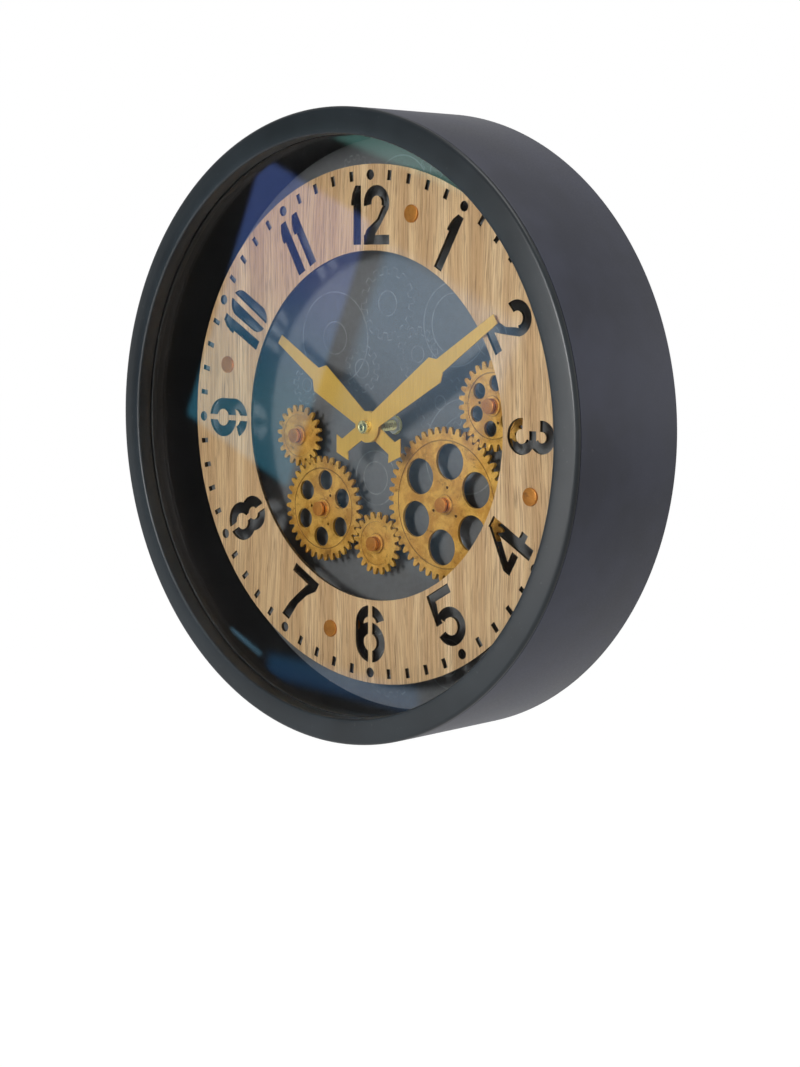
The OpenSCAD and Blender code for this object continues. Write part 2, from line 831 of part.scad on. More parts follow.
module drive_shaft() {
    color("#9da1a5") at(output_wheel_h - 0.5) place(main_xy) {
        cylinder(h = pin_top_h - end_play - output_wheel_h + 0.5, r = post_r);
        translate([0, 0, gear_back_h - 6 - output_wheel_h + 0.5]) cylinder(h = 6, r = post_r + 2.5);
    }
}

// ---------- gear motor ----------

module output_wheel() {
    color("#e9e6da") at(output_wheel_h) place(main_xy)
        gear(drive_wheel_teeth, drive_m, 0, 2, post_r + seat_fit);
}

module reduction_wheel() {
    color("#e9e6da") at(reduction_wheel_h) place(main_xy + reduction_xy) {
        gear(drive_wheel_teeth, drive_m, 0, 1.6, 0.9 + run_fit);
        translate([0, 0, 1.6])
            gear(drive_pinion_teeth, drive_m, reduction_phase, 3.8, 0.9 + run_fit);
    }
}

module motor_pinion() {
    color("#b08d3c") at(reduction_wheel_h - 0.4) place(main_xy + motor_xy)
        gear(drive_pinion_teeth, drive_m, motor_phase, 2.4, 0.75 + seat_fit);
}

module gear_motor() {
    can_len = motor_front_h - box_back_h;
    color("#b9bcbf") at(box_back_h) place(main_xy + motor_xy) {
        cylinder(h = can_len, r = motor_can_r);
        cylinder(h = can_len + 0.3, r = 2);
    }
}

module motor_box() {
    inside_x = [box_x[0] + shell_t, box_x[1] - shell_t];
    gear_z = [bay_wall_z + shell_t, box_z[1] - shell_t];
    bay_z = [box_z[0] + shell_t, bay_wall_z];
    cavity = box_depth - shell_t + thin;
    color("#232427") at(box_back_h) place(main_xy) {
        difference() {
            union() {
                box_between(box_x, box_z, box_depth, 2);
                for (p = ear_places) translate([0, 0, box_depth - ear_t]) {
                    place(p) cylinder(h = ear_t, r = ear_r);
                    place([p[0] - sign(p[0]) * ear_r, p[1]]) translate([0, 0, ear_t / 2])
                        cube([2 * ear_r, 2 * ear_r, ear_t], center = true);
                }
            }
            translate([0, 0, -thin]) {
                box_between(inside_x, gear_z, cavity, 1);
                box_between(inside_x, bay_z, cavity, 1);
                for (x = [-lead_x, lead_x]) translate([x - 1.2, bay_wall_z - 1, 0])
                    cube([2.4, shell_t + 2, motor_cell_h - box_back_h]);
                cylinder(h = box_depth + 1, r = post_r + 1);
            }
            for (p = ear_places) place(p) translate([0, 0, box_depth - ear_t - thin])
                cylinder(h = ear_t + 1, r = 1.6);
        }
        place(reduction_xy) translate([0, 0, reduction_wheel_h - 1 - box_back_h])
            cylinder(h = box_front_h - shell_t - reduction_wheel_h + 1 + thin, r = 0.9);
    }
}

module motor_cover() {
    z = [bay_wall_z + loose_fit, box_z[1] - loose_fit];
    slot = switch_travel + 3 + 2 * loose_fit;
    color("#2b2c2f") at(box_back_h - shell_t) place(main_xy) difference() {
        box_between([box_x[0] + loose_fit, box_x[1] - loose_fit], z, shell_t, 2);
        translate([switch_xy[0] - 1.5 - loose_fit, switch_xy[1] - 1 - loose_fit, -thin])
            cube([slot, 2 + 2 * loose_fit, shell_t + 1]);
    }
}

module motor_batteries() {
    color("#3f6f4c") at(motor_cell_h) place(main_xy) for (i = [0, 1])
        translate([0, motor_cells_z[i], 0]) rotate([0, 0, 180 * i]) aa_cell();
}

module motor_contacts() {
    gap = (box_x[1] - box_x[0] - 2 * shell_t - cell_len) / 2;
    color("#c8cacc") at(motor_cell_h) place(main_xy) for (z = motor_cells_z)
        translate([0, z, 0]) cell_contacts(gap);
}

// Straight stretches of round lead at one height, joined by a crimp sleeve at each corner
module lead(points, h) {
    last = len(points) - 1;
    for (i = [0:last - 1]) {
        step = points[i + 1] - points[i];
        translate([points[i][0], points[i][1], h])
            rotate([0, 90, atan2(step[1], step[0])]) cylinder(h = norm(step), r = lead_r);
    }
    for (i = [1:1:last - 1]) translate([points[i][0], points[i][1], h - crimp_h / 2])
        cylinder(h = crimp_h, r = crimp_r);
}

// Leads from the cells' contacts to the switch and the motor can
module motor_leads() {
    can_side = motor_can_r + 0.1;
    foot_z = motor_cells_z[0] + 2;
    corner_z = bay_wall_z + 3;
    at(0) place(main_xy) {
        color("#b3261e") lead([[lead_x, foot_z], [lead_x, corner_z],
            [switch_xy[0] + 3, switch_xy[1] - 1]], lead_h());
        color("#1a1a1a") {
            lead([[switch_xy[0] - 2, switch_xy[1] - 1],
                [motor_xy[0] + can_side, motor_xy[1]]], lead_h());
            lead([[motor_xy[0] - can_side, motor_xy[1]], [-lead_x, corner_z],
                [-lead_x, foot_z]], lead_h());
        }
    }
}

module switch_body() {
    color("#2f3033") at(box_back_h) place(main_xy + switch_xy) difference() {
        translate([-4, -3.2, 0]) cube([9, 6.4, switch_h()]);
        translate([-1.5 - loose_fit, -1 - loose_fit, -thin])
            cube([switch_travel + 3 + 2 * loose_fit, 2 + 2 * loose_fit, 3]);
    }
}

module switch_slider() {
    color("#d8d8d4") at(box_back_h - shell_t - 1.2) place(main_xy + switch_xy)
        translate([-1.5, -1, 0]) cube([3, 2, shell_t + 1.2 + 2.6]);
}

module motor_box_screws() {
    color("#8f9296") at(box_front_h - ear_t) for (p = ear_places) place(main_xy + p)
        screw(1.4 - seat_fit, 4.2, 2.8, 1.4);
}

// ---------- movement ----------

module movement_case() {
    x = [-move_w / 2, move_w / 2];
    inside_x = [x[0] + shell_t, x[1] - shell_t];
    cavity = move_depth - shell_t + thin;
    color("#1d1d1f") at(move_back_h) difference() {
        box_between(x, move_z, move_depth, 3);
        translate([0, 0, -thin]) {
            box_between(inside_x, [bay_top_z + shell_t, move_z[1] - shell_t], cavity, 1.5);
            box_between(inside_x, [move_z[0] + shell_t, bay_top_z], cavity, 1);
            cylinder(h = move_depth + 1, r = bush_r + seat_fit);
        }
    }
}

module movement_cover() {
    z = [bay_top_z, move_z[1] - loose_fit];
    color("#1d1d1f") at(move_back_h - shell_t) difference() {
        box_between([-move_w / 2 + loose_fit, move_w / 2 - loose_fit], z, shell_t, 3);
        translate([0, 0, -thin]) {
            place(motion_xy) cylinder(h = shell_t + 1, r = 1.5 + run_fit);
            cylinder(h = shell_t + 1, r = 1 + run_fit);
            place(third_xy) cylinder(h = shell_t + 1, r = 0.6 + run_fit);
            place(rotor_xy) cylinder(h = shell_t + 1, r = 0.6 + run_fit);
        }
    }
}

module threaded_bush() {
    color("#a99a4e") at(wheel_front_h) tube(bush_top_h - wheel_front_h, bush_r, bush_in_r);
}

module bush_washer() {
    color("#c9b36a") at(dial_h) tube(0.5, 7, bush_r + loose_fit);
}

module bush_nut() {
    across_flats = 11;
    color("#c8cacc") at(dial_h + 0.5) difference() {
        rotate(30) cylinder(h = 2.4, r = across_flats / 2 / cos(30), $fn = 6);
        translate([0, 0, -thin]) cylinder(h = 3, r = bush_r + seat_fit);
    }
}

module minute_arbor() {
    color("#c2a14b") at(0) {
        translate([0, 0, move_back_h - 1]) cylinder(h = 3, r = 1);
        translate([0, 0, move_back_h + 1])
            cylinder(h = minute_hand_h - move_back_h - 1, r = arbor_r);
        translate([0, 0, minute_hand_h - 1]) cylinder(h = 5, r = arbor_r - 0.3);
        translate([0, 0, motion_wheel_h])
            linear_extrude(2.4) gear_outline(cannon_teeth, motion_m, 0);
        translate([0, 0, centre_wheel_h])
            linear_extrude(1) gear_outline(centre_teeth, train_m, 0);
    }
}

module hour_wheel() {
    color("#e0d8b8") at(hour_wheel_h) difference() {
        union() {
            linear_extrude(1.4) gear_outline(hour_teeth, hour_m, hour_phase);
            cylinder(h = pipe_top_h - hour_wheel_h, r = pipe_r);
        }
        translate([0, 0, -thin]) cylinder(h = pipe_top_h, r = pipe_in_r);
    }
}

module motion_wheel() {
    color("#e9e6da") at(0) place(motion_xy) {
        translate([0, 0, motion_wheel_h])
            linear_extrude(2.4) gear_outline(motion_teeth, motion_m, motion_phase);
        translate([0, 0, hour_wheel_h])
            linear_extrude(1.4) gear_outline(motion_pinion_teeth, hour_m, 0);
        translate([0, 0, knob_h + 2]) cylinder(h = wheel_front_h - end_play - knob_h - 2, r = 1.5);
    }
}

module setting_knob() {
    grips = 18;
    color("#2f3033") at(knob_h) place(motion_xy) difference() {
        union() {
            cylinder(h = 5, r = knob_r);
            for (k = [0:grips - 1]) rotate(360 * k / grips) translate([knob_r, 0, 0])
                cylinder(h = 5, r = 0.7, $fn = 16);
        }
        translate([0, 0, 2]) cylinder(h = 4, r = 1.5 + seat_fit);
    }
}

module third_wheel() {
    color("#e9e6da") at(0) place(third_xy) {
        translate([0, 0, centre_wheel_h - 0.2])
            linear_extrude(1.6) gear_outline(third_pinion_teeth, train_m, third_phase);
        translate([0, 0, third_wheel_h]) linear_extrude(1) gear_outline(50, 0.25, 0);
        translate([0, 0, move_back_h - 1])
            cylinder(h = centre_wheel_h + 2.4 - move_back_h, r = 0.6);
    }
}

module rotor() {
    color("#6d6f73") at(0) place(rotor_xy) {
        translate([0, 0, stator_h - 0.5]) cylinder(h = 2.5, r = rotor_r);
        translate([0, 0, move_back_h - 1]) cylinder(h = stator_h + 4 - move_back_h, r = 0.6);
    }
}

module stator() {
    color("#9b9ea2") at(stator_h) linear_extrude(1.5) difference() {
        union() {
            translate([-25, 16.5]) square([5, 9]);
            translate([-25, 19.5]) square([22, 3]);
            translate([-5, 16.5]) square([13, 9]);
        }
        place(rotor_xy) circle(rotor_r + 0.4);
    }
    color("#9b9ea2") at(stator_h + 1.5)
        for (p = [[-22.5, 17.5], [-3.5, 24.5]]) place(p)
            cylinder(h = wheel_front_h - stator_h - 1.5, r = 0.9);
}

module coil() {
    core = 3 + 2 * seat_fit;
    color("#b5652a") at(stator_h) difference() {
        union() {
            translate([-18.5, 16.8, -2.8]) cube([12, 8.4, 7.1]);
            for (x = [-19.8, -6.6]) translate([x, 16.3, -3.2]) cube([1.3, 9.4, 7.9]);
        }
        translate([-20, 21 - core / 2, -seat_fit]) cube([15, core, 1.5 + 2 * seat_fit]);
    }
}

module circuit_board() {
    color("#2f6b3c") at(move_back_h + 0.1) {
        translate([-26.2, -9.5, 0]) cube([9, 24, 1.2]);
        translate([-21.7, 2, 1.2 - thin]) cylinder(h = 1.2, r = 2.8);
        translate([-24.6, -7, 1.2 + 0.9]) rotate([0, 90, 90]) cylinder(h = 6.5, r = 1);
    }
}

module movement_battery() {
    color("#3f6f4c") at(cell_h) translate([0, cell_z, 0]) aa_cell();
}

module movement_contacts() {
    color("#c8cacc") at(cell_h) translate([0, cell_z, 0])
        cell_contacts((inner_w - cell_len) / 2);
}

// ---------- hands ----------

module hand(len, shoulder, neck, waist, bore_r) {
    side = [
        [-36.5, 0], [-29.4, 10.8], [-26.4, 5.4], [0, 5.4], [shoulder, waist],
        [shoulder + 5.6, 5.3], [len, 3.6]
    ];
    linear_extrude(hand_t) difference() {
        union() {
            polygon(hand_outline(side));
            circle(hand_hub_r);
        }
        circle(bore_r);
    }
}

module minute_hand() {
    shoulder = minute_len - 66.5;
    color("#d0ab62") at(minute_hand_h) rotate(-minute_angle)
        hand(minute_len, shoulder, 5.3, 10.2, arbor_r - 0.3 + seat_fit);
}

module hour_hand() {
    shoulder = hour_len - 50.5;
    color("#d0ab62") at(hour_hand_h) rotate(-hour_angle)
        hand(hour_len, shoulder, 5.3, 11.5, pipe_r + seat_fit);
}

module hand_nut() {
    color("#c8ac50") at(minute_hand_h + hand_t) difference() {
        cylinder(h = nut_h, r = nut_r);
        translate([0, 0, -thin]) cylinder(h = 3.8, r = arbor_r - 0.3 + seat_fit);
    }
}

case_band();
case_flange();
front_bezel();
glass_gasket();
glass_pane();
glass_retainer();
inner_sleeve();
dial_plate();
dial_spacers();
back_panel();
panel_screws();
hanger_plate();
hanger_screws();
chapter_ring();
chapter_pillars();
chapter_caps();
pillar_screws();
gear_posts();
gear_post_nuts();
gear_post_caps();
drive_bush();
main_gear();
main_gear_cap();
drive_shaft();
output_wheel();
right_gear();
bottom_gear();
lower_left_gear();
upper_left_gear();
motor_box();
motor_cover();
gear_motor();
motor_pinion();
reduction_wheel();
motor_batteries();
motor_contacts();
motor_leads();
switch_body();
switch_slider();
motor_box_screws();
movement_case();
movement_cover();
threaded_bush();
bush_washer();
bush_nut();
minute_arbor();
minute_hand();
hand_nut();
hour_wheel();
hour_hand();
motion_wheel();
setting_knob();
third_wheel();
rotor();
stator();
coil();
circuit_board();
movement_battery();
movement_contacts();
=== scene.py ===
# %% [markdown]
# # A glazed wall clock with moving display gears
#
# The clock is a deep round drum that hangs on a wall. A dark metal band and a domed rim hold a
# flat glass. Behind the glass a wooden chapter ring stands over a slate blue dial plate, and five
# brass gears turn in front of the plate. The CAD frame holds every piece at its real size and
# place, in metres, with the wall at y = 0 and the front towards -Y.

# %% Open the frame
import json
import math

import bmesh
import bpy
from mathutils import Matrix, Vector


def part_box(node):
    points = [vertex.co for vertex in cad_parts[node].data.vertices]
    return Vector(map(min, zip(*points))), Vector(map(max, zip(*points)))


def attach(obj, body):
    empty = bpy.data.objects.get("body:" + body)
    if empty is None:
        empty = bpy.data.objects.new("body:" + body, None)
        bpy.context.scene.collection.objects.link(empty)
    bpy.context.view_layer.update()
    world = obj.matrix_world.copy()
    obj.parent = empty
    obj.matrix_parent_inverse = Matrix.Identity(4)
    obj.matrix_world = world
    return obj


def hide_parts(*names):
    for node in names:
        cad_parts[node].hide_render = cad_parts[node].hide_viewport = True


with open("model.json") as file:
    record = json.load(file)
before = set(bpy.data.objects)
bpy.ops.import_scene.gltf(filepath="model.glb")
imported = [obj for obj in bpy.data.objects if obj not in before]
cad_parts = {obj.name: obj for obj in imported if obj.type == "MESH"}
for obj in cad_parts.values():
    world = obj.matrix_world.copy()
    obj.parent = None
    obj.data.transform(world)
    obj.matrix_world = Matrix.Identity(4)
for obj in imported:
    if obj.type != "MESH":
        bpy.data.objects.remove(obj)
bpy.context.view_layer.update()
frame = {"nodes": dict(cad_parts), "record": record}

MM = 0.001
scene = bpy.context.scene
nodes = frame["nodes"]
record = frame["record"]
print("pieces in the frame:", len(nodes))

# %% [markdown]
# Some sizes come back again and again: the clock's own radii and heights, and each gear's axis.
# They are read from the frame's boxes and joints, so that the looks follow the construction.

# %% Read sizes and axes from the frame
NODE_SLOT = {part["node"]: part["material_slot"] for part in record["subparts"]}
NODE_BODY = {n: b for b, members in record["behaviour"]["bodies"].items() for n in members}
JOINT_AXIS = {j["child"]: Vector(j["pos_m"]) for j in record["behaviour"]["joints"] if "pos_m" in j}


def radius_of(node):
    """Half the width of a round node, in millimetres."""
    low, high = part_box(node)
    return (high.x - low.x) / 2 / MM


def front_of(node):
    """Height of a node's front above the wall, in millimetres."""
    return -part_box(node)[0].y / MM


def back_of(node):
    """Height of a node's back above the wall, in millimetres."""
    return -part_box(node)[1].y / MM


print("case radius", round(radius_of("case_band"), 1), "glass front", front_of("glass_pane"))
print("joint axes:", sorted(JOINT_AXIS))

# %% [markdown]
# ## Short calls for shader nodes
#
# A material in Blender is a small network. Typing every node and link by hand is long, so these
# helpers add one node each and hand back the socket that the next node needs.

# %% Helpers that add one shader node each
def wire(tree, value, socket):
    """Put a number, colour or link into an input."""
    if isinstance(value, bpy.types.NodeSocket):
        tree.links.new(value, socket)
    elif value is not None:
        socket.default_value = value


def calc(tree, operation, first, second=None, third=None, clamp=False):
    """One sum on numbers."""
    node = tree.nodes.new("ShaderNodeMath")
    node.operation = operation
    node.use_clamp = clamp
    for value, socket in zip((first, second, third), node.inputs):
        wire(tree, value, socket)
    return node.outputs[0]


def blend(tree, mask, low, high, kind="MIX"):
    """Go from one colour to another where the mask rises."""
    node = tree.nodes.new("ShaderNodeMix")
    node.data_type = "RGBA"
    node.blend_type = kind
    wire(tree, mask, node.inputs["Factor"])
    wire(tree, low, node.inputs[6])
    wire(tree, high, node.inputs[7])
    return node.outputs[2]


def remap(tree, value, low, high, new_low=0.0, new_high=1.0):
    """Stretch a number from one range to another with soft ends, and hold it there."""
    node = tree.nodes.new("ShaderNodeMapRange")
    node.interpolation_type = "SMOOTHSTEP"
    for given, socket in zip((value, low, high, new_low, new_high), node.inputs):
        wire(tree, given, socket)
    return node.outputs[0]


def clouds(tree, coords, scale, detail=2.0, roughness=0.5, warp=0.0):
    """Soft random clouds between 0 and 1; the scale counts clouds per metre."""
    node = tree.nodes.new("ShaderNodeTexNoise")
    wire(tree, coords, node.inputs["Vector"])
    wire(tree, scale, node.inputs["Scale"])
    wire(tree, detail, node.inputs["Detail"])
    wire(tree, roughness, node.inputs["Roughness"])
    wire(tree, warp, node.inputs["Distortion"])
    return node.outputs[0]


def stretched(tree, coords, scale):
    """Coordinates squeezed along each axis, for streaks and grain."""
    node = tree.nodes.new("ShaderNodeMapping")
    wire(tree, coords, node.inputs["Vector"])
    node.inputs["Scale"].default_value = scale
    return node.outputs[0]


def split(tree, coords):
    """The x, y and z of coordinates."""
    node = tree.nodes.new("ShaderNodeSeparateXYZ")
    wire(tree, coords, node.inputs[0])
    return node.outputs


def relief(tree, height, depth, strength=1.0):
    """A normal that shows a height between 0 and 1 as that many metres."""
    node = tree.nodes.new("ShaderNodeBump")
    wire(tree, height, node.inputs["Height"])
    node.inputs["Distance"].default_value = depth
    node.inputs["Strength"].default_value = strength
    return node.outputs[0]


def grade(tree, value, stops):
    """Colours along a number; each stop is (place, colour)."""
    node = tree.nodes.new("ShaderNodeValToRGB")
    wire(tree, value, node.inputs[0])
    ramp = node.color_ramp
    for place, colour in stops[1:-1]:
        ramp.elements.new(place)
    for element, (place, colour) in zip(ramp.elements, stops):
        element.position = place
        element.color = (*colour, 1.0)
    return node.outputs[0]


def open_group(name, inputs, outputs):
    """A shader node group with named sockets; gives the tree, its inputs and its outputs."""
    tree = bpy.data.node_groups.new(name, "ShaderNodeTree")
    for label, kind, value in inputs:
        socket = tree.interface.new_socket(label, in_out="INPUT", socket_type=kind)
        if value is not None:
            socket.default_value = value
    for label, kind in outputs:
        tree.interface.new_socket(label, in_out="OUTPUT", socket_type=kind)
    given = tree.nodes.new("NodeGroupInput")
    found = tree.nodes.new("NodeGroupOutput")
    return tree, given.outputs, found.inputs


def use_group(tree, group, **values):
    """Place a group in a material with its own values."""
    node = tree.nodes.new("ShaderNodeGroup")
    node.node_tree = group
    for label, value in values.items():
        wire(tree, value, node.inputs[label.replace("_", " ")])
    return node.outputs


def open_material(name, roughness=0.5, metallic=0.0, **constants):
    """A new material: its tree, its Principled shader and the piece's own coordinates."""
    material = bpy.data.materials.new(name)
    material.use_nodes = True
    tree = material.node_tree
    shader = tree.nodes["Principled BSDF"]
    shader.inputs["Roughness"].default_value = roughness
    shader.inputs["Metallic"].default_value = metallic
    for label, value in constants.items():
        shader.inputs[label.replace("_", " ")].default_value = value
    coords = tree.nodes.new("ShaderNodeTexCoord").outputs["Object"]
    return material, tree, shader, coords


VALUE, VECTOR, COLOUR = "NodeSocketFloat", "NodeSocketVector", "NodeSocketColor"
MATERIALS = {}
print("shader helpers are ready")

# %% [markdown]
# ## Effects that several finishes share
#
# Paint, plastic, plated steel and brass all carry a fine grain, a slow drift of tone and a few
# specks of dust. One node group makes these masks, and each material reads it with its own scale.
# The group gives out only numbers and a normal; the shader stays in the material.

# %% Group: surface grain
grain_group, given, found = open_group(
    "surface grain",
    [("Coordinates", VECTOR, None), ("Grain", VALUE, 900.0), ("Drift", VALUE, 14.0),
     ("Low roughness", VALUE, 0.4), ("High roughness", VALUE, 0.55), ("Relief", VALUE, 0.5)],
    [("Tone", VALUE), ("Dust", VALUE), ("Roughness", VALUE), ("Normal", VECTOR)],
)
fine = clouds(grain_group, given["Coordinates"], given["Grain"], 3.0, 0.55)
slow = clouds(grain_group, given["Coordinates"], given["Drift"], 3.0, 0.6)
specks = clouds(grain_group, given["Coordinates"], 420.0, 1.0, 0.4)
wire(grain_group, remap(grain_group, slow, 0.3, 0.7), found["Tone"])
wire(grain_group, remap(grain_group, specks, 0.74, 0.8), found["Dust"])
mixed = calc(grain_group, "ADD", calc(grain_group, "MULTIPLY", fine, 0.5),
             calc(grain_group, "MULTIPLY", slow, 0.5))
wire(grain_group, remap(grain_group, mixed, 0.3, 0.7, given["Low roughness"],
                        given["High roughness"]), found["Roughness"])
bump = grain_group.nodes.new("ShaderNodeBump")
bump.inputs["Distance"].default_value = 0.05 * MM
wire(grain_group, given["Relief"], bump.inputs["Strength"])
wire(grain_group, fine, bump.inputs["Height"])
wire(grain_group, bump.outputs[0], found["Normal"])
print("surface grain sockets:", len(grain_group.interface.items_tree))

# %% [markdown]
# Old brass is bright where fingers and other parts rub it and dark where dirt stays. The ambient
# occlusion node finds the sheltered places, such as a turned groove or the foot of a tooth, and
# the bevel node finds the rubbed edges.

# %% Group: rubbed edges and sheltered corners
wear_group, given, found = open_group(
    "rubbed and sheltered",
    [("Coordinates", VECTOR, None), ("Edge width", VALUE, 0.3 * MM), ("Shelter", VALUE, 2.0 * MM)],
    [("Rubbed", VALUE), ("Sheltered", VALUE)],
)
softer = wear_group.nodes.new("ShaderNodeBevel")
softer.samples = 4
wire(wear_group, given["Edge width"], softer.inputs["Radius"])
facing = wear_group.nodes.new("ShaderNodeVectorMath")
facing.operation = "DOT_PRODUCT"
wire(wear_group, softer.outputs[0], facing.inputs[0])
wire(wear_group, wear_group.nodes.new("ShaderNodeNewGeometry").outputs["Normal"], facing.inputs[1])
patchy = clouds(wear_group, given["Coordinates"], 260.0, 3.0, 0.6)
edge = calc(wear_group, "SUBTRACT", 1.0, facing.outputs["Value"])
edge = calc(wear_group, "MULTIPLY", edge, calc(wear_group, "ADD", patchy, 0.4))
wire(wear_group, remap(wear_group, edge, 0.02, 0.16), found["Rubbed"])
shelter = wear_group.nodes.new("ShaderNodeAmbientOcclusion")
shelter.samples = 8
shelter.only_local = True
wire(wear_group, given["Shelter"], shelter.inputs["Distance"])
wire(wear_group, remap(wear_group, shelter.outputs["AO"], 0.55, 0.98, 1.0, 0.0),
     found["Sheltered"])
print("wear group has", len(wear_group.nodes), "nodes")

# %% [markdown]
# ## Painted and moulded finishes
#
# The case is sprayed satin black over rolled metal. It looks dark slate where it mirrors a pale
# room, so the paint itself is almost black and the gloss does the rest. The rim, the inner wall
# and the plastic boxes differ only in colour, grain and gloss.

# %% Paint, rubber and plastic
DUST_SHARE = 0.12


def coated(name, colour, low, high, grain, depth, tint=0.25, **constants):
    """A sprayed or moulded surface with fine grain, a slow drift of tone and some dust."""
    material, tree, shader, coords = open_material(name, **constants)
    marks = use_group(tree, grain_group, Coordinates=coords, Grain=grain, Low_roughness=low,
                      High_roughness=high, Relief=depth)
    dark = (*[c * (1 - tint) for c in colour], 1)
    light = (*[c * (1 + tint) for c in colour], 1)
    base = blend(tree, marks["Tone"], dark, light)
    pale = (*[0.7 * c + 0.12 for c in colour], 1)
    base = blend(tree, calc(tree, "MULTIPLY", marks["Dust"], DUST_SHARE), base, pale)
    wire(tree, base, shader.inputs["Base Color"])
    wire(tree, marks["Roughness"], shader.inputs["Roughness"])
    wire(tree, marks["Normal"], shader.inputs["Normal"])
    return material


MATERIALS["case_black"] = coated("satin case paint", (0.034, 0.037, 0.058), 0.36, 0.46, 700, 0.35,
                                 Specular_IOR_Level=0.42)
MATERIALS["bezel_black"] = coated("satin rim paint", (0.006, 0.0094, 0.0122), 0.32, 0.40, 700, 0.25,
                                  Specular_IOR_Level=0.42)
MATERIALS["gasket_black"] = coated("gasket rubber", (0.012, 0.012, 0.012), 0.7, 0.85, 500, 0.8)
MATERIALS["black_plastic"] = coated("moulded plastic", (0.014, 0.0135, 0.014), 0.5, 0.65, 1400, 0.9,
                                    Specular_IOR_Level=0.3)
MATERIALS["inner_black"] = coated("dull inner paint", (0.011, 0.010, 0.0105), 0.42, 0.55, 600, 0.4,
                                  Specular_IOR_Level=0.25)
MATERIALS["white_plastic"] = coated("white plastic", (0.72, 0.70, 0.63), 0.28, 0.4, 900, 0.2, 0.04)
MATERIALS["board_green"] = coated("circuit board", (0.02, 0.11, 0.05), 0.25, 0.45, 600, 0.2, 0.15)
MATERIALS["lead_wrap"] = coated("lead insulation", (0.30, 0.02, 0.015), 0.3, 0.4, 900, 0.2, 0.1)
print("coated finishes:", len(MATERIALS))

# %% [markdown]
# The back panel is fibre board stained black. Pressed fibres show as short soft streaks that lie
# both ways, so two stretched clouds are laid over each other.

# %% Stained fibre board
material, tree, shader, coords = open_material("stained fibre board", 0.75)
across = clouds(tree, stretched(tree, coords, (1, 1, 0.15)), 700.0, 3.0)
along = clouds(tree, stretched(tree, coords, (0.15, 1, 1)), 700.0, 3.0)
fibres = calc(tree, "MAXIMUM", across, along)
wire(tree, grade(tree, fibres, [(0.35, (0.009, 0.008, 0.007)), (0.6, (0.026, 0.023, 0.020)),
                                (0.8, (0.08, 0.068, 0.055))]), shader.inputs["Base Color"])
wire(tree, remap(tree, fibres, 0.3, 0.8, 0.6, 0.85), shader.inputs["Roughness"])
wire(tree, relief(tree, fibres, 0.15 * MM, 0.6), shader.inputs["Normal"])
MATERIALS["panel_board"] = material
print("fibre board is ready")

# %% [markdown]
# ## Metals
#
# The gears are cast in zinc and plated in antique brass: golden on the faces, brown and patchy
# where the lacquer thins, dark in the turned groove. The hands are stamped from brass sheet and
# brushed, the caps are copper plated, and the screws are zinc plated steel.

# %% Antique gear brass
def aged_metal(name, bright, mid, brown, low=0.28, high=0.5, rubbed=(0.95, 0.74, 0.36),
               metallic=1.0):
    """Plated metal with brown clouds, dark sheltered corners and rubbed edges."""
    material, tree, shader, coords = open_material(name, metallic=metallic)
    marks = use_group(tree, grain_group, Coordinates=coords, Grain=1100.0, Drift=60.0,
                      Low_roughness=low, High_roughness=high, Relief=0.35)
    wear = use_group(tree, wear_group, Coordinates=coords)
    blotches = clouds(tree, coords, 75.0, 5.0, 0.65, 0.4)
    scratches = clouds(tree, stretched(tree, coords, (1, 1, 0.05)), 1600.0, 2.0)
    base = blend(tree, remap(tree, blotches, 0.38, 0.62), (*mid, 1), (*bright, 1))
    stains = remap(tree, clouds(tree, coords, 140.0, 6.0, 0.7, 0.8), 0.54, 0.70)
    base = blend(tree, calc(tree, "MULTIPLY", stains, 0.65), base, (*brown, 1))
    base = blend(tree, calc(tree, "MULTIPLY", wear["Sheltered"], 0.75), base, (*brown, 1))
    base = blend(tree, calc(tree, "MULTIPLY", wear["Rubbed"], 0.6), base, (*rubbed, 1))
    wire(tree, base, shader.inputs["Base Color"])
    rough = calc(tree, "ADD", marks["Roughness"], calc(tree, "MULTIPLY", stains, 0.12))
    rough = calc(tree, "ADD", rough, remap(tree, scratches, 0.3, 0.7, -0.04, 0.04), clamp=True)
    wire(tree, rough, shader.inputs["Roughness"])
    wire(tree, marks["Normal"], shader.inputs["Normal"])
    return material


MATERIALS["gear_brass"] = aged_metal("antique gear brass", (0.71, 0.39, 0.080),
                                     (0.50, 0.235, 0.040), (0.13, 0.052, 0.012), 0.36, 0.52,
                                     metallic=0.6)
MATERIALS["copper"] = aged_metal("copper plate", (0.56, 0.22, 0.042), (0.44, 0.16, 0.028),
                                 (0.16, 0.06, 0.02), 0.3, 0.42, (0.80, 0.45, 0.20), metallic=0.6)
MATERIALS["copper_wire"] = aged_metal("winding wire", (0.5, 0.2, 0.08), (0.4, 0.15, 0.05),
                                      (0.15, 0.05, 0.02), 0.3, 0.45)
print("aged metals are ready")

# %% [markdown]
# The nut and the bush at the centre are turned from bar, and the tool leaves fine rings round the
# axis. Such rings stretch a highlight into two opposite fans, so the shader gets a direction that
# runs round the axis. The nut and the bush sit on the clock's own axis, so that direction follows
# from the place on the piece alone.

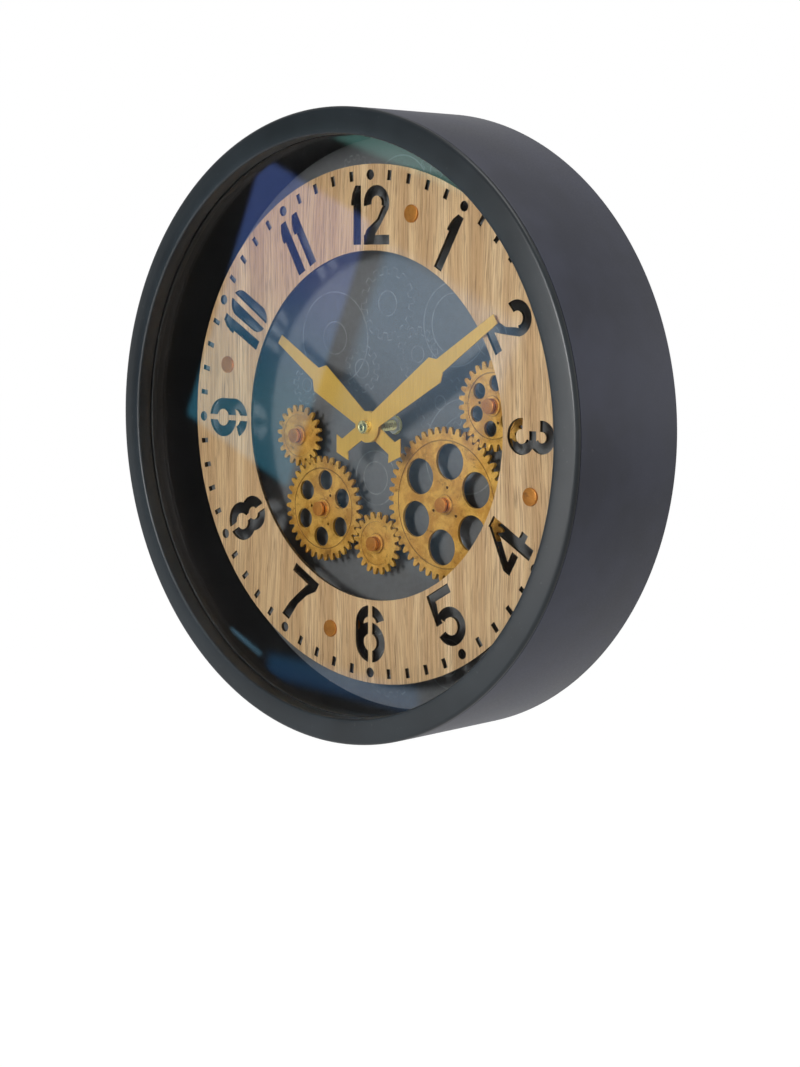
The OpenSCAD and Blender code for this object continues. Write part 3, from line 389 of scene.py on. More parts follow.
# %% Turned brass
material, tree, shader, coords = open_material("turned brass", 0.3, 1.0, Anisotropic=0.85)
marks = use_group(tree, grain_group, Coordinates=coords, Grain=900.0, Drift=200.0,
                  Low_roughness=0.24, High_roughness=0.34, Relief=0.1)
axes = split(tree, coords)
reach = calc(tree, "SQRT", calc(tree, "ADD", calc(tree, "POWER", axes["X"], 2.0),
                                calc(tree, "POWER", axes["Z"], 2.0)))
rings = calc(tree, "SINE", calc(tree, "DIVIDE", reach, 0.07 * MM))
around = tree.nodes.new("ShaderNodeCombineXYZ")
wire(tree, calc(tree, "MULTIPLY", axes["Z"], -1.0), around.inputs[0])
wire(tree, axes["X"], around.inputs[2])
turned_way = tree.nodes.new("ShaderNodeVectorTransform")
turned_way.vector_type = "VECTOR"
turned_way.convert_from, turned_way.convert_to = "OBJECT", "WORLD"
wire(tree, around.outputs[0], turned_way.inputs[0])
wire(tree, turned_way.outputs[0], shader.inputs["Tangent"])
base = blend(tree, remap(tree, rings, -1.0, 1.0), (0.54, 0.50, 0.24, 1), (0.70, 0.65, 0.36, 1))
wire(tree, blend(tree, marks["Tone"], base, (0.62, 0.56, 0.28, 1)), shader.inputs["Base Color"])
wire(tree, marks["Roughness"], shader.inputs["Roughness"])
MATERIALS["bright_brass"] = material
print("turned brass is ready")

# %% [markdown]
# Brushed sheet shows long fine lines in one direction. The clouds are squeezed until they turn
# into lines, and the same lines drive the tone, the roughness and a very shallow relief.

# %% Brushed and plated sheet
def brushed(name, light, dark, line_scale, low, high, metallic=1.0):
    """Sheet metal with fine straight brush lines."""
    material, tree, shader, coords = open_material(name, metallic=metallic)
    lines = clouds(tree, stretched(tree, coords, line_scale), 1500.0, 3.0, 0.6)
    slow = clouds(tree, coords, 30.0, 3.0)
    base = blend(tree, remap(tree, lines, 0.3, 0.7), (*dark, 1), (*light, 1))
    base = blend(tree, calc(tree, "MULTIPLY", slow, 0.25), base, (*dark, 1))
    wire(tree, base, shader.inputs["Base Color"])
    wire(tree, remap(tree, calc(tree, "ADD", lines, slow), 0.7, 1.3, low, high),
         shader.inputs["Roughness"])
    wire(tree, relief(tree, lines, 0.01 * MM, 0.5), shader.inputs["Normal"])
    return material


MATERIALS["hand_brass"] = brushed("brushed hand brass", (0.77, 0.47, 0.105), (0.67, 0.39, 0.080),
                                  (1, 1, 0.03), 0.34, 0.44, metallic=0.5)
MATERIALS["steel"] = brushed("ground steel", (0.86, 0.87, 0.84), (0.72, 0.73, 0.70),
                             (1, 0.05, 1), 0.30, 0.42, metallic=0.3)
MATERIALS["screw_steel"] = brushed("zinc plate", (0.55, 0.57, 0.60), (0.40, 0.41, 0.44),
                                   (1, 1, 0.2), 0.25, 0.45)
MATERIALS["contact_metal"] = brushed("nickel plate", (0.68, 0.68, 0.66), (0.55, 0.55, 0.53),
                                     (1, 1, 0.1), 0.15, 0.3)
MATERIALS["iron"] = brushed("sheet iron", (0.36, 0.36, 0.38), (0.26, 0.26, 0.28),
                            (0.1, 1, 1), 0.3, 0.5)
print("finishes so far:", len(MATERIALS))

# %% [markdown]
# ## Oak veneer
#
# The chapter ring is cut from board with an oak face. Oak has straight grain lines that run up
# the ring, wider pale and tan bands that drift, and thousands of short dark pores. The cutter
# leaves a dark scorched wall round the numerals and along both rims, which is found by how far
# the surface turns away from the front.

# %% Group: oak grain
oak_group, given, found = open_group(
    "oak grain", [("Coordinates", VECTOR, None)],
    [("Colour", COLOUR), ("Roughness", VALUE), ("Height", VALUE)],
)
bend = clouds(oak_group, stretched(oak_group, given["Coordinates"], (1, 1, 0.35)), 9.0, 2.0)
axes = split(oak_group, given["Coordinates"])
drifted = calc(oak_group, "ADD", axes["X"], calc(oak_group, "MULTIPLY", bend, 0.035))
leaned = oak_group.nodes.new("ShaderNodeCombineXYZ")
wire(oak_group, drifted, leaned.inputs[0])
wire(oak_group, axes["Y"], leaned.inputs[1])
wire(oak_group, axes["Z"], leaned.inputs[2])
bands = clouds(oak_group, stretched(oak_group, leaned.outputs[0], (1, 1, 0.03)), 60.0, 3.0, 0.6)
lines = clouds(oak_group, stretched(oak_group, leaned.outputs[0], (1, 1, 0.02)), 900.0, 2.0, 0.6)
pores = clouds(oak_group, stretched(oak_group, leaned.outputs[0], (1, 1, 0.03)), 1700.0, 1.0, 0.5)
base = grade(oak_group, bands, [(0.28, (0.45, 0.255, 0.115)), (0.45, (0.56, 0.345, 0.175)),
                                (0.58, (0.65, 0.425, 0.23)), (0.75, (0.76, 0.53, 0.315))])
base = blend(oak_group, remap(oak_group, lines, 0.42, 0.64, 0.0, 0.6), base,
             (0.36, 0.205, 0.10, 1))
pore_mask = remap(oak_group, pores, 0.56, 0.68)
base = blend(oak_group, calc(oak_group, "MULTIPLY", pore_mask, 0.6), base, (0.16, 0.09, 0.045, 1))
wire(oak_group, base, found["Colour"])
wire(oak_group, remap(oak_group, lines, 0.3, 0.7, 0.42, 0.6), found["Roughness"])
wire(oak_group, calc(oak_group, "SUBTRACT", calc(oak_group, "MULTIPLY", lines, -0.5), pore_mask),
     found["Height"])
print("oak grain nodes:", len(oak_group.nodes))

# %% Oak with scorched cut edges
material, tree, shader, coords = open_material("oak veneer")
oak = use_group(tree, oak_group, Coordinates=coords)
facing = tree.nodes.new("ShaderNodeNewGeometry").outputs["Normal"]
outward = calc(tree, "ABSOLUTE", split(tree, facing)["Y"])
scorched = remap(tree, outward, 0.15, 0.75, 1.0, 0.0)
wire(tree, blend(tree, scorched, oak["Colour"], (0.035, 0.022, 0.014, 1)),
     shader.inputs["Base Color"])
wire(tree, oak["Roughness"], shader.inputs["Roughness"])
wire(tree, relief(tree, oak["Height"], 0.05 * MM, 0.5), shader.inputs["Normal"])
MATERIALS["oak"] = material
print("oak is ready")

# %% [markdown]
# ## Printed dial plate
#
# The plate is printed slate blue with soft clouds, and faint chalk drawings of wheels float on
# it. Its back is bare board. One group draws a single chalk wheel: a thin circle whose radius
# steps in and out as teeth, with a hub circle. The material repeats it with other centres and
# sizes and adds them up.

# %% Group: one chalk wheel
chalk_group, given, found = open_group(
    "chalk wheel",
    [("Coordinates", VECTOR, None), ("Centre x", VALUE, 0.0), ("Centre z", VALUE, 0.0),
     ("Radius", VALUE, 20.0), ("Teeth", VALUE, 20.0), ("Tooth depth", VALUE, 2.0),
     ("Hub", VALUE, 6.0), ("Line", VALUE, 0.5)],
    [("Mask", VALUE)],
)
axes = split(chalk_group, given["Coordinates"])
across = calc(chalk_group, "SUBTRACT", calc(chalk_group, "DIVIDE", axes["X"], MM),
              given["Centre x"])
upward = calc(chalk_group, "SUBTRACT", calc(chalk_group, "DIVIDE", axes["Z"], MM),
              given["Centre z"])
reach = calc(chalk_group, "SQRT", calc(chalk_group, "ADD", calc(chalk_group, "POWER", across, 2.0),
                                       calc(chalk_group, "POWER", upward, 2.0)))
turn = calc(chalk_group, "MULTIPLY", calc(chalk_group, "ARCTAN2", upward, across),
            given["Teeth"])
wave = calc(chalk_group, "SINE", turn)
step = remap(chalk_group, wave, -0.35, 0.35, -1.0, 1.0)
outline = calc(chalk_group, "MULTIPLY_ADD", step, given["Tooth depth"], given["Radius"])
slope = calc(chalk_group, "SUBTRACT", 1.0, calc(chalk_group, "ABSOLUTE", step))
width = calc(chalk_group, "MULTIPLY_ADD", slope, calc(chalk_group, "MULTIPLY",
             given["Tooth depth"], 0.55), given["Line"])
rim = calc(chalk_group, "ABSOLUTE", calc(chalk_group, "SUBTRACT", reach, outline))
rim = calc(chalk_group, "LESS_THAN", rim, width)
hub = calc(chalk_group, "ABSOLUTE", calc(chalk_group, "SUBTRACT", reach, given["Hub"]))
hub = calc(chalk_group, "LESS_THAN", hub, given["Line"])
wire(chalk_group, calc(chalk_group, "MAXIMUM", rim, hub), found["Mask"])
print("chalk wheel nodes:", len(chalk_group.nodes))

# %% Slate blue print
CHALK_WHEELS = [
    # centre x, centre z, radius, teeth, tooth depth, hub
    (-62, 62, 34, 0, 0.0, 12), (-8, 88, 24, 16, 2.6, 9), (58, 74, 30, 0, 0.0, 22),
    (92, 66, 14, 0, 0.0, 8), (84, 30, 9, 14, 1.0, 4), (22, 52, 17, 14, 2.6, 6),
    (-34, 40, 15, 12, 2.4, 7), (44, 18, 22, 18, 2.6, 5), (-92, 26, 12, 11, 2.2, 5),
    (6, 168, 26, 0, 0.0, 15), (-40, 176, 18, 18, 1.6, 7), (40, 182, 14, 12, 1.6, 6),
    (-6, -176, 24, 18, 1.8, 10), (52, -170, 18, 0, 0.0, 9), (-70, -160, 22, 18, 1.6, 8),
    (70, -18, 40, 0, 0.0, 28), (-20, -40, 20, 0, 0.0, 12), (110, 0, 16, 14, 1.6, 5),
]
material, tree, shader, coords = open_material("slate blue print")
drawn = 0.0
for x, z, radius, teeth, depth, hub in CHALK_WHEELS:
    mask = use_group(tree, chalk_group, Coordinates=coords, Centre_x=x, Centre_z=z, Radius=radius,
                     Teeth=teeth, Tooth_depth=depth, Hub=hub)["Mask"]
    drawn = calc(tree, "MAXIMUM", mask, drawn)
worn = remap(tree, clouds(tree, coords, 90.0, 4.0, 0.6), 0.35, 0.65, 0.15, 1.0)
soft = clouds(tree, coords, 11.0, 4.0, 0.6, 0.3)
fine = clouds(tree, coords, 260.0, 4.0, 0.6)
base = grade(tree, soft, [(0.3, (0.096, 0.094, 0.098)), (0.5, (0.112, 0.109, 0.113)),
                          (0.7, (0.130, 0.127, 0.131))])
base = blend(tree, remap(tree, fine, 0.35, 0.65, 0.0, 0.25), base, (0.17, 0.175, 0.185, 1))
chalk = calc(tree, "MULTIPLY", calc(tree, "MULTIPLY", drawn, worn), 0.28)
base = blend(tree, chalk, base, (0.42, 0.45, 0.47, 1))
facing = split(tree, tree.nodes.new("ShaderNodeNewGeometry").outputs["Normal"])["Y"]
base = blend(tree, calc(tree, "LESS_THAN", facing, -0.5),
             grade(tree, fine, [(0.3, (0.05, 0.043, 0.036)), (0.7, (0.085, 0.073, 0.06))]), base)
wire(tree, base, shader.inputs["Base Color"])
wire(tree, remap(tree, fine, 0.3, 0.7, 0.5, 0.62), shader.inputs["Roughness"])
wire(tree, relief(tree, fine, 0.02 * MM, 0.4), shader.inputs["Normal"])
MATERIALS["dial_print"] = material
print("chalk wheels drawn:", len(CHALK_WHEELS))

# %% [markdown]
# ## Glass and cell wraps
#
# A clock glass is plain float glass. It mirrors the room faintly and lets the rest through. Lamps
# and soft light must reach the dial, so rays from lamps and rays that carry soft light pass
# straight through, and only the camera and mirrors see real glass. The cells under the back
# window have a plain shrink wrap with one pale band and bare metal ends.

# %% Flat glass
material, tree, shader, coords = open_material("float glass", roughness=0.0)
shader.inputs["Transmission Weight"].default_value = 1.0
shader.inputs["IOR"].default_value = 1.5
shader.inputs["Base Color"].default_value = (0.965, 0.985, 0.98, 1)
smudges = remap(tree, clouds(tree, coords, 25.0, 4.0, 0.6), 0.45, 0.8, 0.0, 0.03)
wire(tree, smudges, shader.inputs["Roughness"])
path = tree.nodes.new("ShaderNodeLightPath").outputs
passing = tree.nodes.new("ShaderNodeBsdfTransparent")
passing.inputs[0].default_value = (0.94, 0.96, 0.955, 1)
choose = tree.nodes.new("ShaderNodeMixShader")
wire(tree, calc(tree, "MAXIMUM", path["Is Shadow Ray"], path["Is Diffuse Ray"]), choose.inputs[0])
wire(tree, shader.outputs[0], choose.inputs[1])
wire(tree, passing.outputs[0], choose.inputs[2])
wire(tree, choose.outputs[0], tree.nodes["Material Output"].inputs["Surface"])
MATERIALS["glass"] = material
print("glass is ready")

# %% Shrink-wrapped cells
material, tree, shader, coords = open_material("cell wrap", 0.3)
marks = use_group(tree, grain_group, Coordinates=coords, Grain=700.0, Low_roughness=0.22,
                  High_roughness=0.32, Relief=0.15)
facing = split(tree, tree.nodes.new("ShaderNodeNewGeometry").outputs["Normal"])["X"]
bare = calc(tree, "GREATER_THAN", calc(tree, "ABSOLUTE", facing), 0.7)
band = remap(tree, clouds(tree, stretched(tree, coords, (1, 0.01, 0.01)), 55.0, 0.0), 0.5, 0.52)
base = blend(tree, band, (0.015, 0.07, 0.035, 1), (0.45, 0.36, 0.2, 1))
base = blend(tree, bare, base, (0.6, 0.6, 0.58, 1))
wire(tree, base, shader.inputs["Base Color"])
wire(tree, bare, shader.inputs["Metallic"])
wire(tree, marks["Roughness"], shader.inputs["Roughness"])
wire(tree, marks["Normal"], shader.inputs["Normal"])
MATERIALS["cell_wrap"] = material
print("finishes in all:", len(MATERIALS))

# %% [markdown]
# ## Tools for making pieces
#
# Two ways cover every piece. A turned piece is spun from half of its outline. A stamped, cut or
# moulded piece starts as a copy of its CAD node, and every sharp edge gets a small rounding that
# catches the light.

# %% Place, shade and finish a piece
def shade(mesh, limit=32.0):
    """Smooth faces, with a sharp break where two faces meet at more than the limit."""
    for face in mesh.faces:
        face.smooth = True
    for edge in mesh.edges:
        edge.smooth = (len(edge.link_faces) == 2
                       and edge.calc_face_angle(0.0) < math.radians(limit))


def piece(mesh, name, node):
    """Turn a bmesh into the stand-in for a CAD node, with that node's finish and body."""
    data = bpy.data.meshes.new(name)
    mesh.to_mesh(data)
    mesh.free()
    shown = bpy.data.objects.new(name, data)
    scene.collection.objects.link(shown)
    data.materials.append(MATERIALS[NODE_SLOT[node]])
    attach(shown, NODE_BODY[node])
    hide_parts(node)
    return shown


def pour(part, mesh):
    """Add one bmesh to another and free it."""
    spare = bpy.data.meshes.new("spare")
    part.to_mesh(spare)
    part.free()
    mesh.from_mesh(spare)
    bpy.data.meshes.remove(spare)


print("finishing tools are ready")


# %% Spin an outline
def spun(mesh, outline, centre=(0, 0, 0), steps=96, arc=5):
    """Add a solid spun from an outline of (radius, height, corner rounding) to the mesh."""
    middle = Vector((centre[0], 0, centre[2]))
    part = bmesh.new()
    corners = [part.verts.new(middle + Vector((r * MM, -h * MM, 0))) for r, h, _ in outline]
    for i, corner in enumerate(corners):
        after = (i + 1) % len(corners)
        if outline[i][0] or outline[after][0]:
            part.edges.new((corner, corners[after]))
    for corner, (_, _, rounding) in zip(corners, outline):
        if rounding:
            bmesh.ops.bevel(part, geom=[corner], offset=rounding * MM, offset_type="OFFSET",
                            segments=arc, profile=0.5, affect="VERTICES", material=-1)
    bmesh.ops.spin(part, geom=part.verts[:] + part.edges[:], cent=middle, axis=(0, 1, 0),
                   angle=2 * math.pi, steps=steps, use_merge=True)
    bmesh.ops.remove_doubles(part, verts=part.verts[:], dist=1e-6)
    bmesh.ops.recalc_face_normals(part, faces=part.faces[:])
    pour(part, mesh)


def turned(node, outline, centres=((0, 0, 0),), steps=96, arc=5):
    """The stand-in for a node made of one turned solid, or of several alike."""
    mesh = bmesh.new()
    for centre in centres:
        spun(mesh, outline, centre, steps, arc)
    shade(mesh)
    return piece(mesh, node + ".turned", node)


# %% Soften a copy of a CAD node
SHARP_ANGLE = 35.0


def softened(node, width):
    """A copy of a CAD node with its triangles joined and its sharp edges rounded."""
    mesh = bmesh.new()
    mesh.from_mesh(nodes[node].data)
    bmesh.ops.remove_doubles(mesh, verts=mesh.verts[:], dist=2e-6)
    bmesh.ops.recalc_face_normals(mesh, faces=mesh.faces[:])
    shade(mesh, SHARP_ANGLE)
    shown = piece(mesh, node + ".soft", node)
    rounding = shown.modifiers.new("edge rounding", "BEVEL")
    rounding.width = width * MM
    rounding.segments = 2
    rounding.limit_method = "ANGLE"
    rounding.angle_limit = math.radians(SHARP_ANGLE)
    rounding.harden_normals = True
    return shown


# %% [markdown]
# ## The case
#
# The band is a strip of steel rolled into a drum, and a flat ring is welded inside its back edge.
# The rim is turned separately: a shallow dome that rises to a crest and then drops to the glass.
# Its spigot slides into the band and leaves a narrow shadow groove. The outlines are spun in many
# steps, because the silhouette of such a large circle shows every flat.

# %% Band and rim
WALL = 2
SPIGOT_FIT = 0.05
GROOVE = 0.6
LIP_WIDTH = 19
POCKET_WIDTH = 8
ROLL_WIDTH = 1.5
DOME_WIDTH = 15
DOME_DROP = 2
case_r = radius_of("case_band")
band_front = front_of("case_band")
band_in = case_r - WALL
turned("case_band", [(case_r, 0, 0.9), (case_r, band_front, 0.6), (band_in, band_front, 0.3),
                     (band_in, 0, 0.5)], steps=256)

rim_front = front_of("front_bezel")
rim_back = back_of("front_bezel")
groove_top = band_front + GROOVE
lip_r = case_r - LIP_WIDTH
pocket_r = lip_r + POCKET_WIDTH
seat = front_of("glass_gasket")
dome = [(lip_r + ROLL_WIDTH + DOME_WIDTH * u, rim_front - DOME_DROP * u * u, 0)
        for u in (0.75, 0.6, 0.45, 0.3, 0.15)]
rim = turned("front_bezel",
             [(pocket_r, rim_back, 0.3), (band_in - SPIGOT_FIT, rim_back, 0.5),
              (band_in - SPIGOT_FIT, band_front, 0), (band_in + 1, band_front, 0),
              (band_in + 1, groove_top, 0), (case_r, groove_top, 0.3),
              (case_r, rim_front - DOME_DROP, 2.5), *dome, (lip_r, rim_front, ROLL_WIDTH),
              (lip_r, seat, 0.4), (pocket_r, seat, 0)], steps=256)
print("case radius", round(case_r, 2), "rim from", round(rim_back, 1), "to", round(rim_front, 1))

# %% [markdown]
# Behind the lip lie a rubber gasket, the glass, a moulded ring that holds the glass, and a black
# sleeve that reaches down to the dial plate. They are what shows at a slant inside the rim.

# %% Gasket, retaining ring and sleeve
gasket_back = back_of("glass_gasket")
turned("glass_gasket",
       [(lip_r + 0.6, gasket_back, 0.3), (lip_r + 0.6, seat, 0.3), (pocket_r - 0.3, seat, 0.2),
        (pocket_r - 0.3, gasket_back, 0.2)], steps=192)
turned("glass_retainer",
       [(lip_r, rim_back, 0.7), (lip_r, front_of("glass_retainer"), 0.7),
        (pocket_r - 0.05, front_of("glass_retainer"), 0.3), (pocket_r - 0.05, rim_back, 0.3)],
       steps=192)
sleeve_r = radius_of("inner_sleeve") - WALL
sleeve_back = back_of("inner_sleeve")
turned("inner_sleeve",
       [(sleeve_r, sleeve_back, 0.2), (sleeve_r, rim_back, 0.6), (sleeve_r + WALL, rim_back, 0.3),
        (sleeve_r + WALL, sleeve_back, 0.2)], steps=192)
print("sleeve radius", round(sleeve_r, 1))

# %% [markdown]
# ## Caps, nut and threaded bush
#
# The copper caps are turned from bar: a flat face with a broken edge, and a groove round the side
# of the tall ones. The nut on the hands has a dished face. The movement's bush is cut with a fine
# thread, which is a small ridge swept round the axis while it climbs one pitch for each turn.

# %% Caps on the ring and on the gears
PEG_R = 1.98
cap_r = 6.3
pillar_circle = (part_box("chapter_caps")[1].x / MM - cap_r) / math.cos(math.radians(15))
ring_front = front_of("chapter_ring")
peg_end = back_of("chapter_caps")
pillar_places = [(pillar_circle * math.sin(math.radians(a)) * MM, 0,
                  pillar_circle * math.cos(math.radians(a)) * MM) for a in (15, 105, 195, 285)]
cap_top = front_of("chapter_caps")
turned("chapter_caps",
       [(0, cap_top, 0), (cap_r, cap_top, 0.35), (cap_r, ring_front, 0.1), (PEG_R, ring_front, 0),
        (PEG_R, peg_end, 0.3), (0, peg_end, 0)], pillar_places, steps=64, arc=3)


POST_CAP_R, NECK_R = 5.3, 4.1
NECK_LOW, NECK_TOP = 1.8, 2.9
POST_HOLE_R, POST_HOLE_DEPTH = 2.52, 3.5


def post_cap(node, places):
    """A grooved cap with a blind hole for the post."""
    low, top = back_of(node), front_of(node)
    turned(node, [(0, top, 0), (POST_CAP_R, top, 0.45), (POST_CAP_R, low + NECK_TOP, 0.25),
                  (NECK_R, low + NECK_TOP, 0), (NECK_R, low + NECK_LOW, 0),
                  (POST_CAP_R, low + NECK_LOW, 0.25), (POST_CAP_R, low, 0.25),
                  (POST_HOLE_R, low, 0.2), (POST_HOLE_R, low + POST_HOLE_DEPTH, 0),
                  (0, low + POST_HOLE_DEPTH, 0)], places, steps=64, arc=3)


post_cap("gear_post_caps", [JOINT_AXIS[b] for b in ("right_train", "bottom_train",
                                                    "lower_left_train", "upper_left_train")])
post_cap("main_gear_cap", [JOINT_AXIS["main_train"]])
print("ring caps on a circle of", round(pillar_circle, 1))

# %% Nut of the hands
nut_low, nut_top = back_of("hand_nut"), front_of("hand_nut")
nut_r = radius_of("hand_nut")
BUTTON_DROP, DISH_DROP = 0.15, 0.45
NUT_HOLE_R, NUT_HOLE_DEPTH = 1.42, 3.8
turned("hand_nut",
       [(0, nut_top - BUTTON_DROP, 0), (1.1, nut_top - BUTTON_DROP, 0.1),
        (1.5, nut_top - DISH_DROP, 0.1), (3.2, nut_top - DISH_DROP, 0.1), (3.7, nut_top, 0.15),
        (nut_r, nut_top, 0.4), (nut_r, nut_low, 0.2), (NUT_HOLE_R, nut_low, 0.2),
        (NUT_HOLE_R, nut_low + NUT_HOLE_DEPTH, 0), (0, nut_low + NUT_HOLE_DEPTH, 0)], steps=96)
print("hand nut radius", round(nut_r, 2))

# %% Bush with its thread
bush_r = radius_of("threaded_bush")
bush_low, bush_top = back_of("threaded_bush"), front_of("threaded_bush")
bore_r = min(math.hypot(v.co.x, v.co.z) for v in nodes["threaded_bush"].data.vertices) / MM
PITCH = 0.75
TURN_STEPS = 28
RIDGE_HALF = 0.3
ROOT_OVERLAP = 0.05
root_r = bush_r - 0.36
mesh = bmesh.new()
spun(mesh, [(bore_r, bush_low, 0), (root_r, bush_low, 0.2), (root_r, bush_top, 0.25),
            (bore_r, bush_top, 0.25)], steps=64)
turns = int((bush_top - front_of("dial_plate") - 1.5) / PITCH)
start = bush_top - 0.6 - turns * PITCH
ridge = bmesh.new()
profile = [ridge.verts.new((r * MM, -h * MM, 0)) for r, h in
           ((root_r - ROOT_OVERLAP, start - RIDGE_HALF), (bush_r, start),
            (root_r - ROOT_OVERLAP, start + RIDGE_HALF))]
edges = [ridge.edges.new((profile[i], profile[i + 1])) for i in range(2)]
bmesh.ops.spin(ridge, geom=profile + edges, cent=(0, 0, 0), axis=(0, 1, 0),
               dvec=(0, -PITCH * MM / TURN_STEPS, 0), angle=2 * math.pi * turns,
               steps=TURN_STEPS * turns, use_merge=False)
bmesh.ops.recalc_face_normals(ridge, faces=ridge.faces[:])
pour(ridge, mesh)
shade(mesh, 50)
piece(mesh, "threaded_bush.cut", "threaded_bush")
print("thread turns:", turns, "bore radius", round(bore_r, 2))

# %% [markdown]
# ## Everything that is stamped, cut or moulded
#
# The other pieces keep the exact shape of their CAD nodes. Only their sharp edges change: a cut
# board edge stays crisp, stamped brass has a slight roll, and a plastic box has a visible radius.

# %% Round the edges of the other pieces
EDGE_WIDTHS = {
    0.08: ["hour_hand", "minute_hand", "motor_pinion", "reduction_wheel", "output_wheel",
           "hour_wheel", "motion_wheel", "third_wheel", "minute_arbor", "rotor"],
    0.12: ["chapter_ring", "main_gear", "right_gear", "bottom_gear", "lower_left_gear",
           "upper_left_gear", "hanger_plate", "bush_washer", "stator", "circuit_board",
           "motor_contacts", "movement_contacts", "switch_slider"],
    0.2: ["case_flange", "dial_plate", "back_panel", "bush_nut", "gear_posts", "gear_post_nuts",
          "drive_bush", "drive_shaft", "chapter_pillars", "panel_screws", "hanger_screws",
          "pillar_screws", "motor_box_screws", "coil", "switch_body"],
    0.4: ["dial_spacers", "motor_box", "motor_cover", "movement_case", "movement_cover",
          "gear_motor", "setting_knob", "motor_batteries", "movement_battery"],
}
for width, group in EDGE_WIDTHS.items():
    for node in group:
        softened(node, width)
    print("edge rounding of", width, "mm on", len(group), "nodes")

for node, shown in nodes.items():
    shown.data.materials.clear()
    shown.data.materials.append(MATERIALS[NODE_SLOT[node]])

# %% [markdown]
# ## Camera, light and room
#
# The camera stands to the right of the clock and a little above it, with a long lens. One soft
# lamp stands almost straight in front and throws short shadows of hands and gears downwards. A
# wide lamp to the left lights only the rim and gives it a soft sheen, because in the glass it would
# hide the dial from other sides. The room is white all round, which gives the satin band its pale
# upper edge.

# %% Camera
LENS_MM = 75.66
ROLL = -0.34
LEAN = -0.6
camera = bpy.data.objects.new("camera", bpy.data.cameras.new("camera"))
scene.collection.objects.link(camera)
scene.camera = camera
camera.data.sensor_fit = "VERTICAL"
camera.data.sensor_height = 36.0
camera.data.lens = LENS_MM
place = Vector((1.12521, -1.22214, 0.09470))
target = Vector((0.02212, -0.05800, -0.07644))
look = (target - place).to_track_quat("-Z", "Y").to_matrix()
look = look @ Matrix.Rotation(math.radians(ROLL), 3, "Z")
lean = Matrix.Rotation(math.radians(LEAN), 3, "Y")
camera.location = lean @ place
camera.rotation_euler = (lean @ look).to_euler()
print("camera distance:", round((target - camera.location).length, 3))

# %% Lamps and world
def lamp(name, place, aim, size, power):
    """A soft square lamp that faces a point."""
    light = bpy.data.lights.new(name, "AREA")
    light.shape = "SQUARE"
    light.size = size
    light.energy = power
    holder = bpy.data.objects.new(name, light)
    scene.collection.objects.link(holder)
    holder.location = place
    holder.rotation_euler = (Vector(aim) - Vector(place)).to_track_quat("-Z", "Y").to_euler()
    return holder


lamp("front lamp", (0.26, -1.95, 0.36), (0, 0, 0), 0.42, 26.5)
lamp("top lamp", (0.5, 0.1, 1.5), (0.1, -0.05, 0), 0.9, 8)
lamp("low lamp", (0.45, -1.3, -0.9), (0.05, -0.05, 0), 0.9, 5)
sheen = lamp("rim sheen", (-0.70, -2.0, -0.1), (-0.70, 0, -0.1), 1.0, 28)
sheen.light_linking.receiver_collection = bpy.data.collections.new("rim only")
sheen.light_linking.receiver_collection.objects.link(rim)

world = bpy.data.worlds.new("white room")
scene.world = world
world.use_nodes = True
room = world.node_tree
backdrop = room.nodes["Background"]
backdrop.inputs["Color"].default_value = (1, 1, 1, 1)
ray = room.nodes.new("ShaderNodeLightPath").outputs
mirrored = calc(room, "MAXIMUM", ray["Is Glossy Ray"], ray["Is Transmission Ray"])
directions = split(room, room.nodes.new("ShaderNodeTexCoord").outputs["Generated"])
mirrored = calc(room, "MULTIPLY", mirrored, remap(room, directions["X"], -0.3, 0.7, 0.35, 0.8))
mirrored = calc(room, "MULTIPLY", mirrored, remap(room, directions["Z"], 0.1, 0.6, 1.0, 0.45))
wire(room, calc(room, "MAXIMUM", calc(room, "ADD", mirrored, 0.3), ray["Is Camera Ray"]),
     backdrop.inputs["Strength"])
scene.view_settings.view_transform = "Standard"

# %% [markdown]
# The glass mirrors what stands in front of the clock to the left: a dark room with windows at
# dusk. A black card stands in for it. Only mirrored rays see the card. One group draws a soft
# tilted window, and the card's material places a few of them with different colours.

# %% Group: soft tilted window
window_group, given, found = open_group(
    "soft window",
    [("Coordinates", VECTOR, None), ("Centre x", VALUE, 0.0), ("Centre z", VALUE, 0.0),
     ("Tilt", VALUE, 0.0), ("Half width", VALUE, 0.1), ("Half height", VALUE, 0.1),
     ("Softness", VALUE, 0.02)],
    [("Mask", VALUE), ("Down", VALUE)],
)
axes = split(window_group, given["Coordinates"])
dx = calc(window_group, "SUBTRACT", axes["X"], given["Centre x"])
dz = calc(window_group, "SUBTRACT", axes["Z"], given["Centre z"])
cosine = calc(window_group, "COSINE", given["Tilt"])
sine = calc(window_group, "SINE", given["Tilt"])
along = calc(window_group, "SUBTRACT", calc(window_group, "MULTIPLY", dx, cosine),
             calc(window_group, "MULTIPLY", dz, sine))
down = calc(window_group, "ADD", calc(window_group, "MULTIPLY", dx, sine),
            calc(window_group, "MULTIPLY", dz, cosine))
masks = []
for reach, half in ((along, given["Half width"]), (down, given["Half height"])):
    beyond = calc(window_group, "SUBTRACT", calc(window_group, "ABSOLUTE", reach), half)
    beyond = calc(window_group, "DIVIDE", beyond, given["Softness"])
    masks.append(remap(window_group, beyond, -1.0, 0.0, 1.0, 0.0))
wire(window_group, calc(window_group, "MULTIPLY", masks[0], masks[1]), found["Mask"])
wire(window_group, calc(window_group, "DIVIDE", down, given["Half height"]), found["Down"])
print("window group nodes:", len(window_group.nodes))

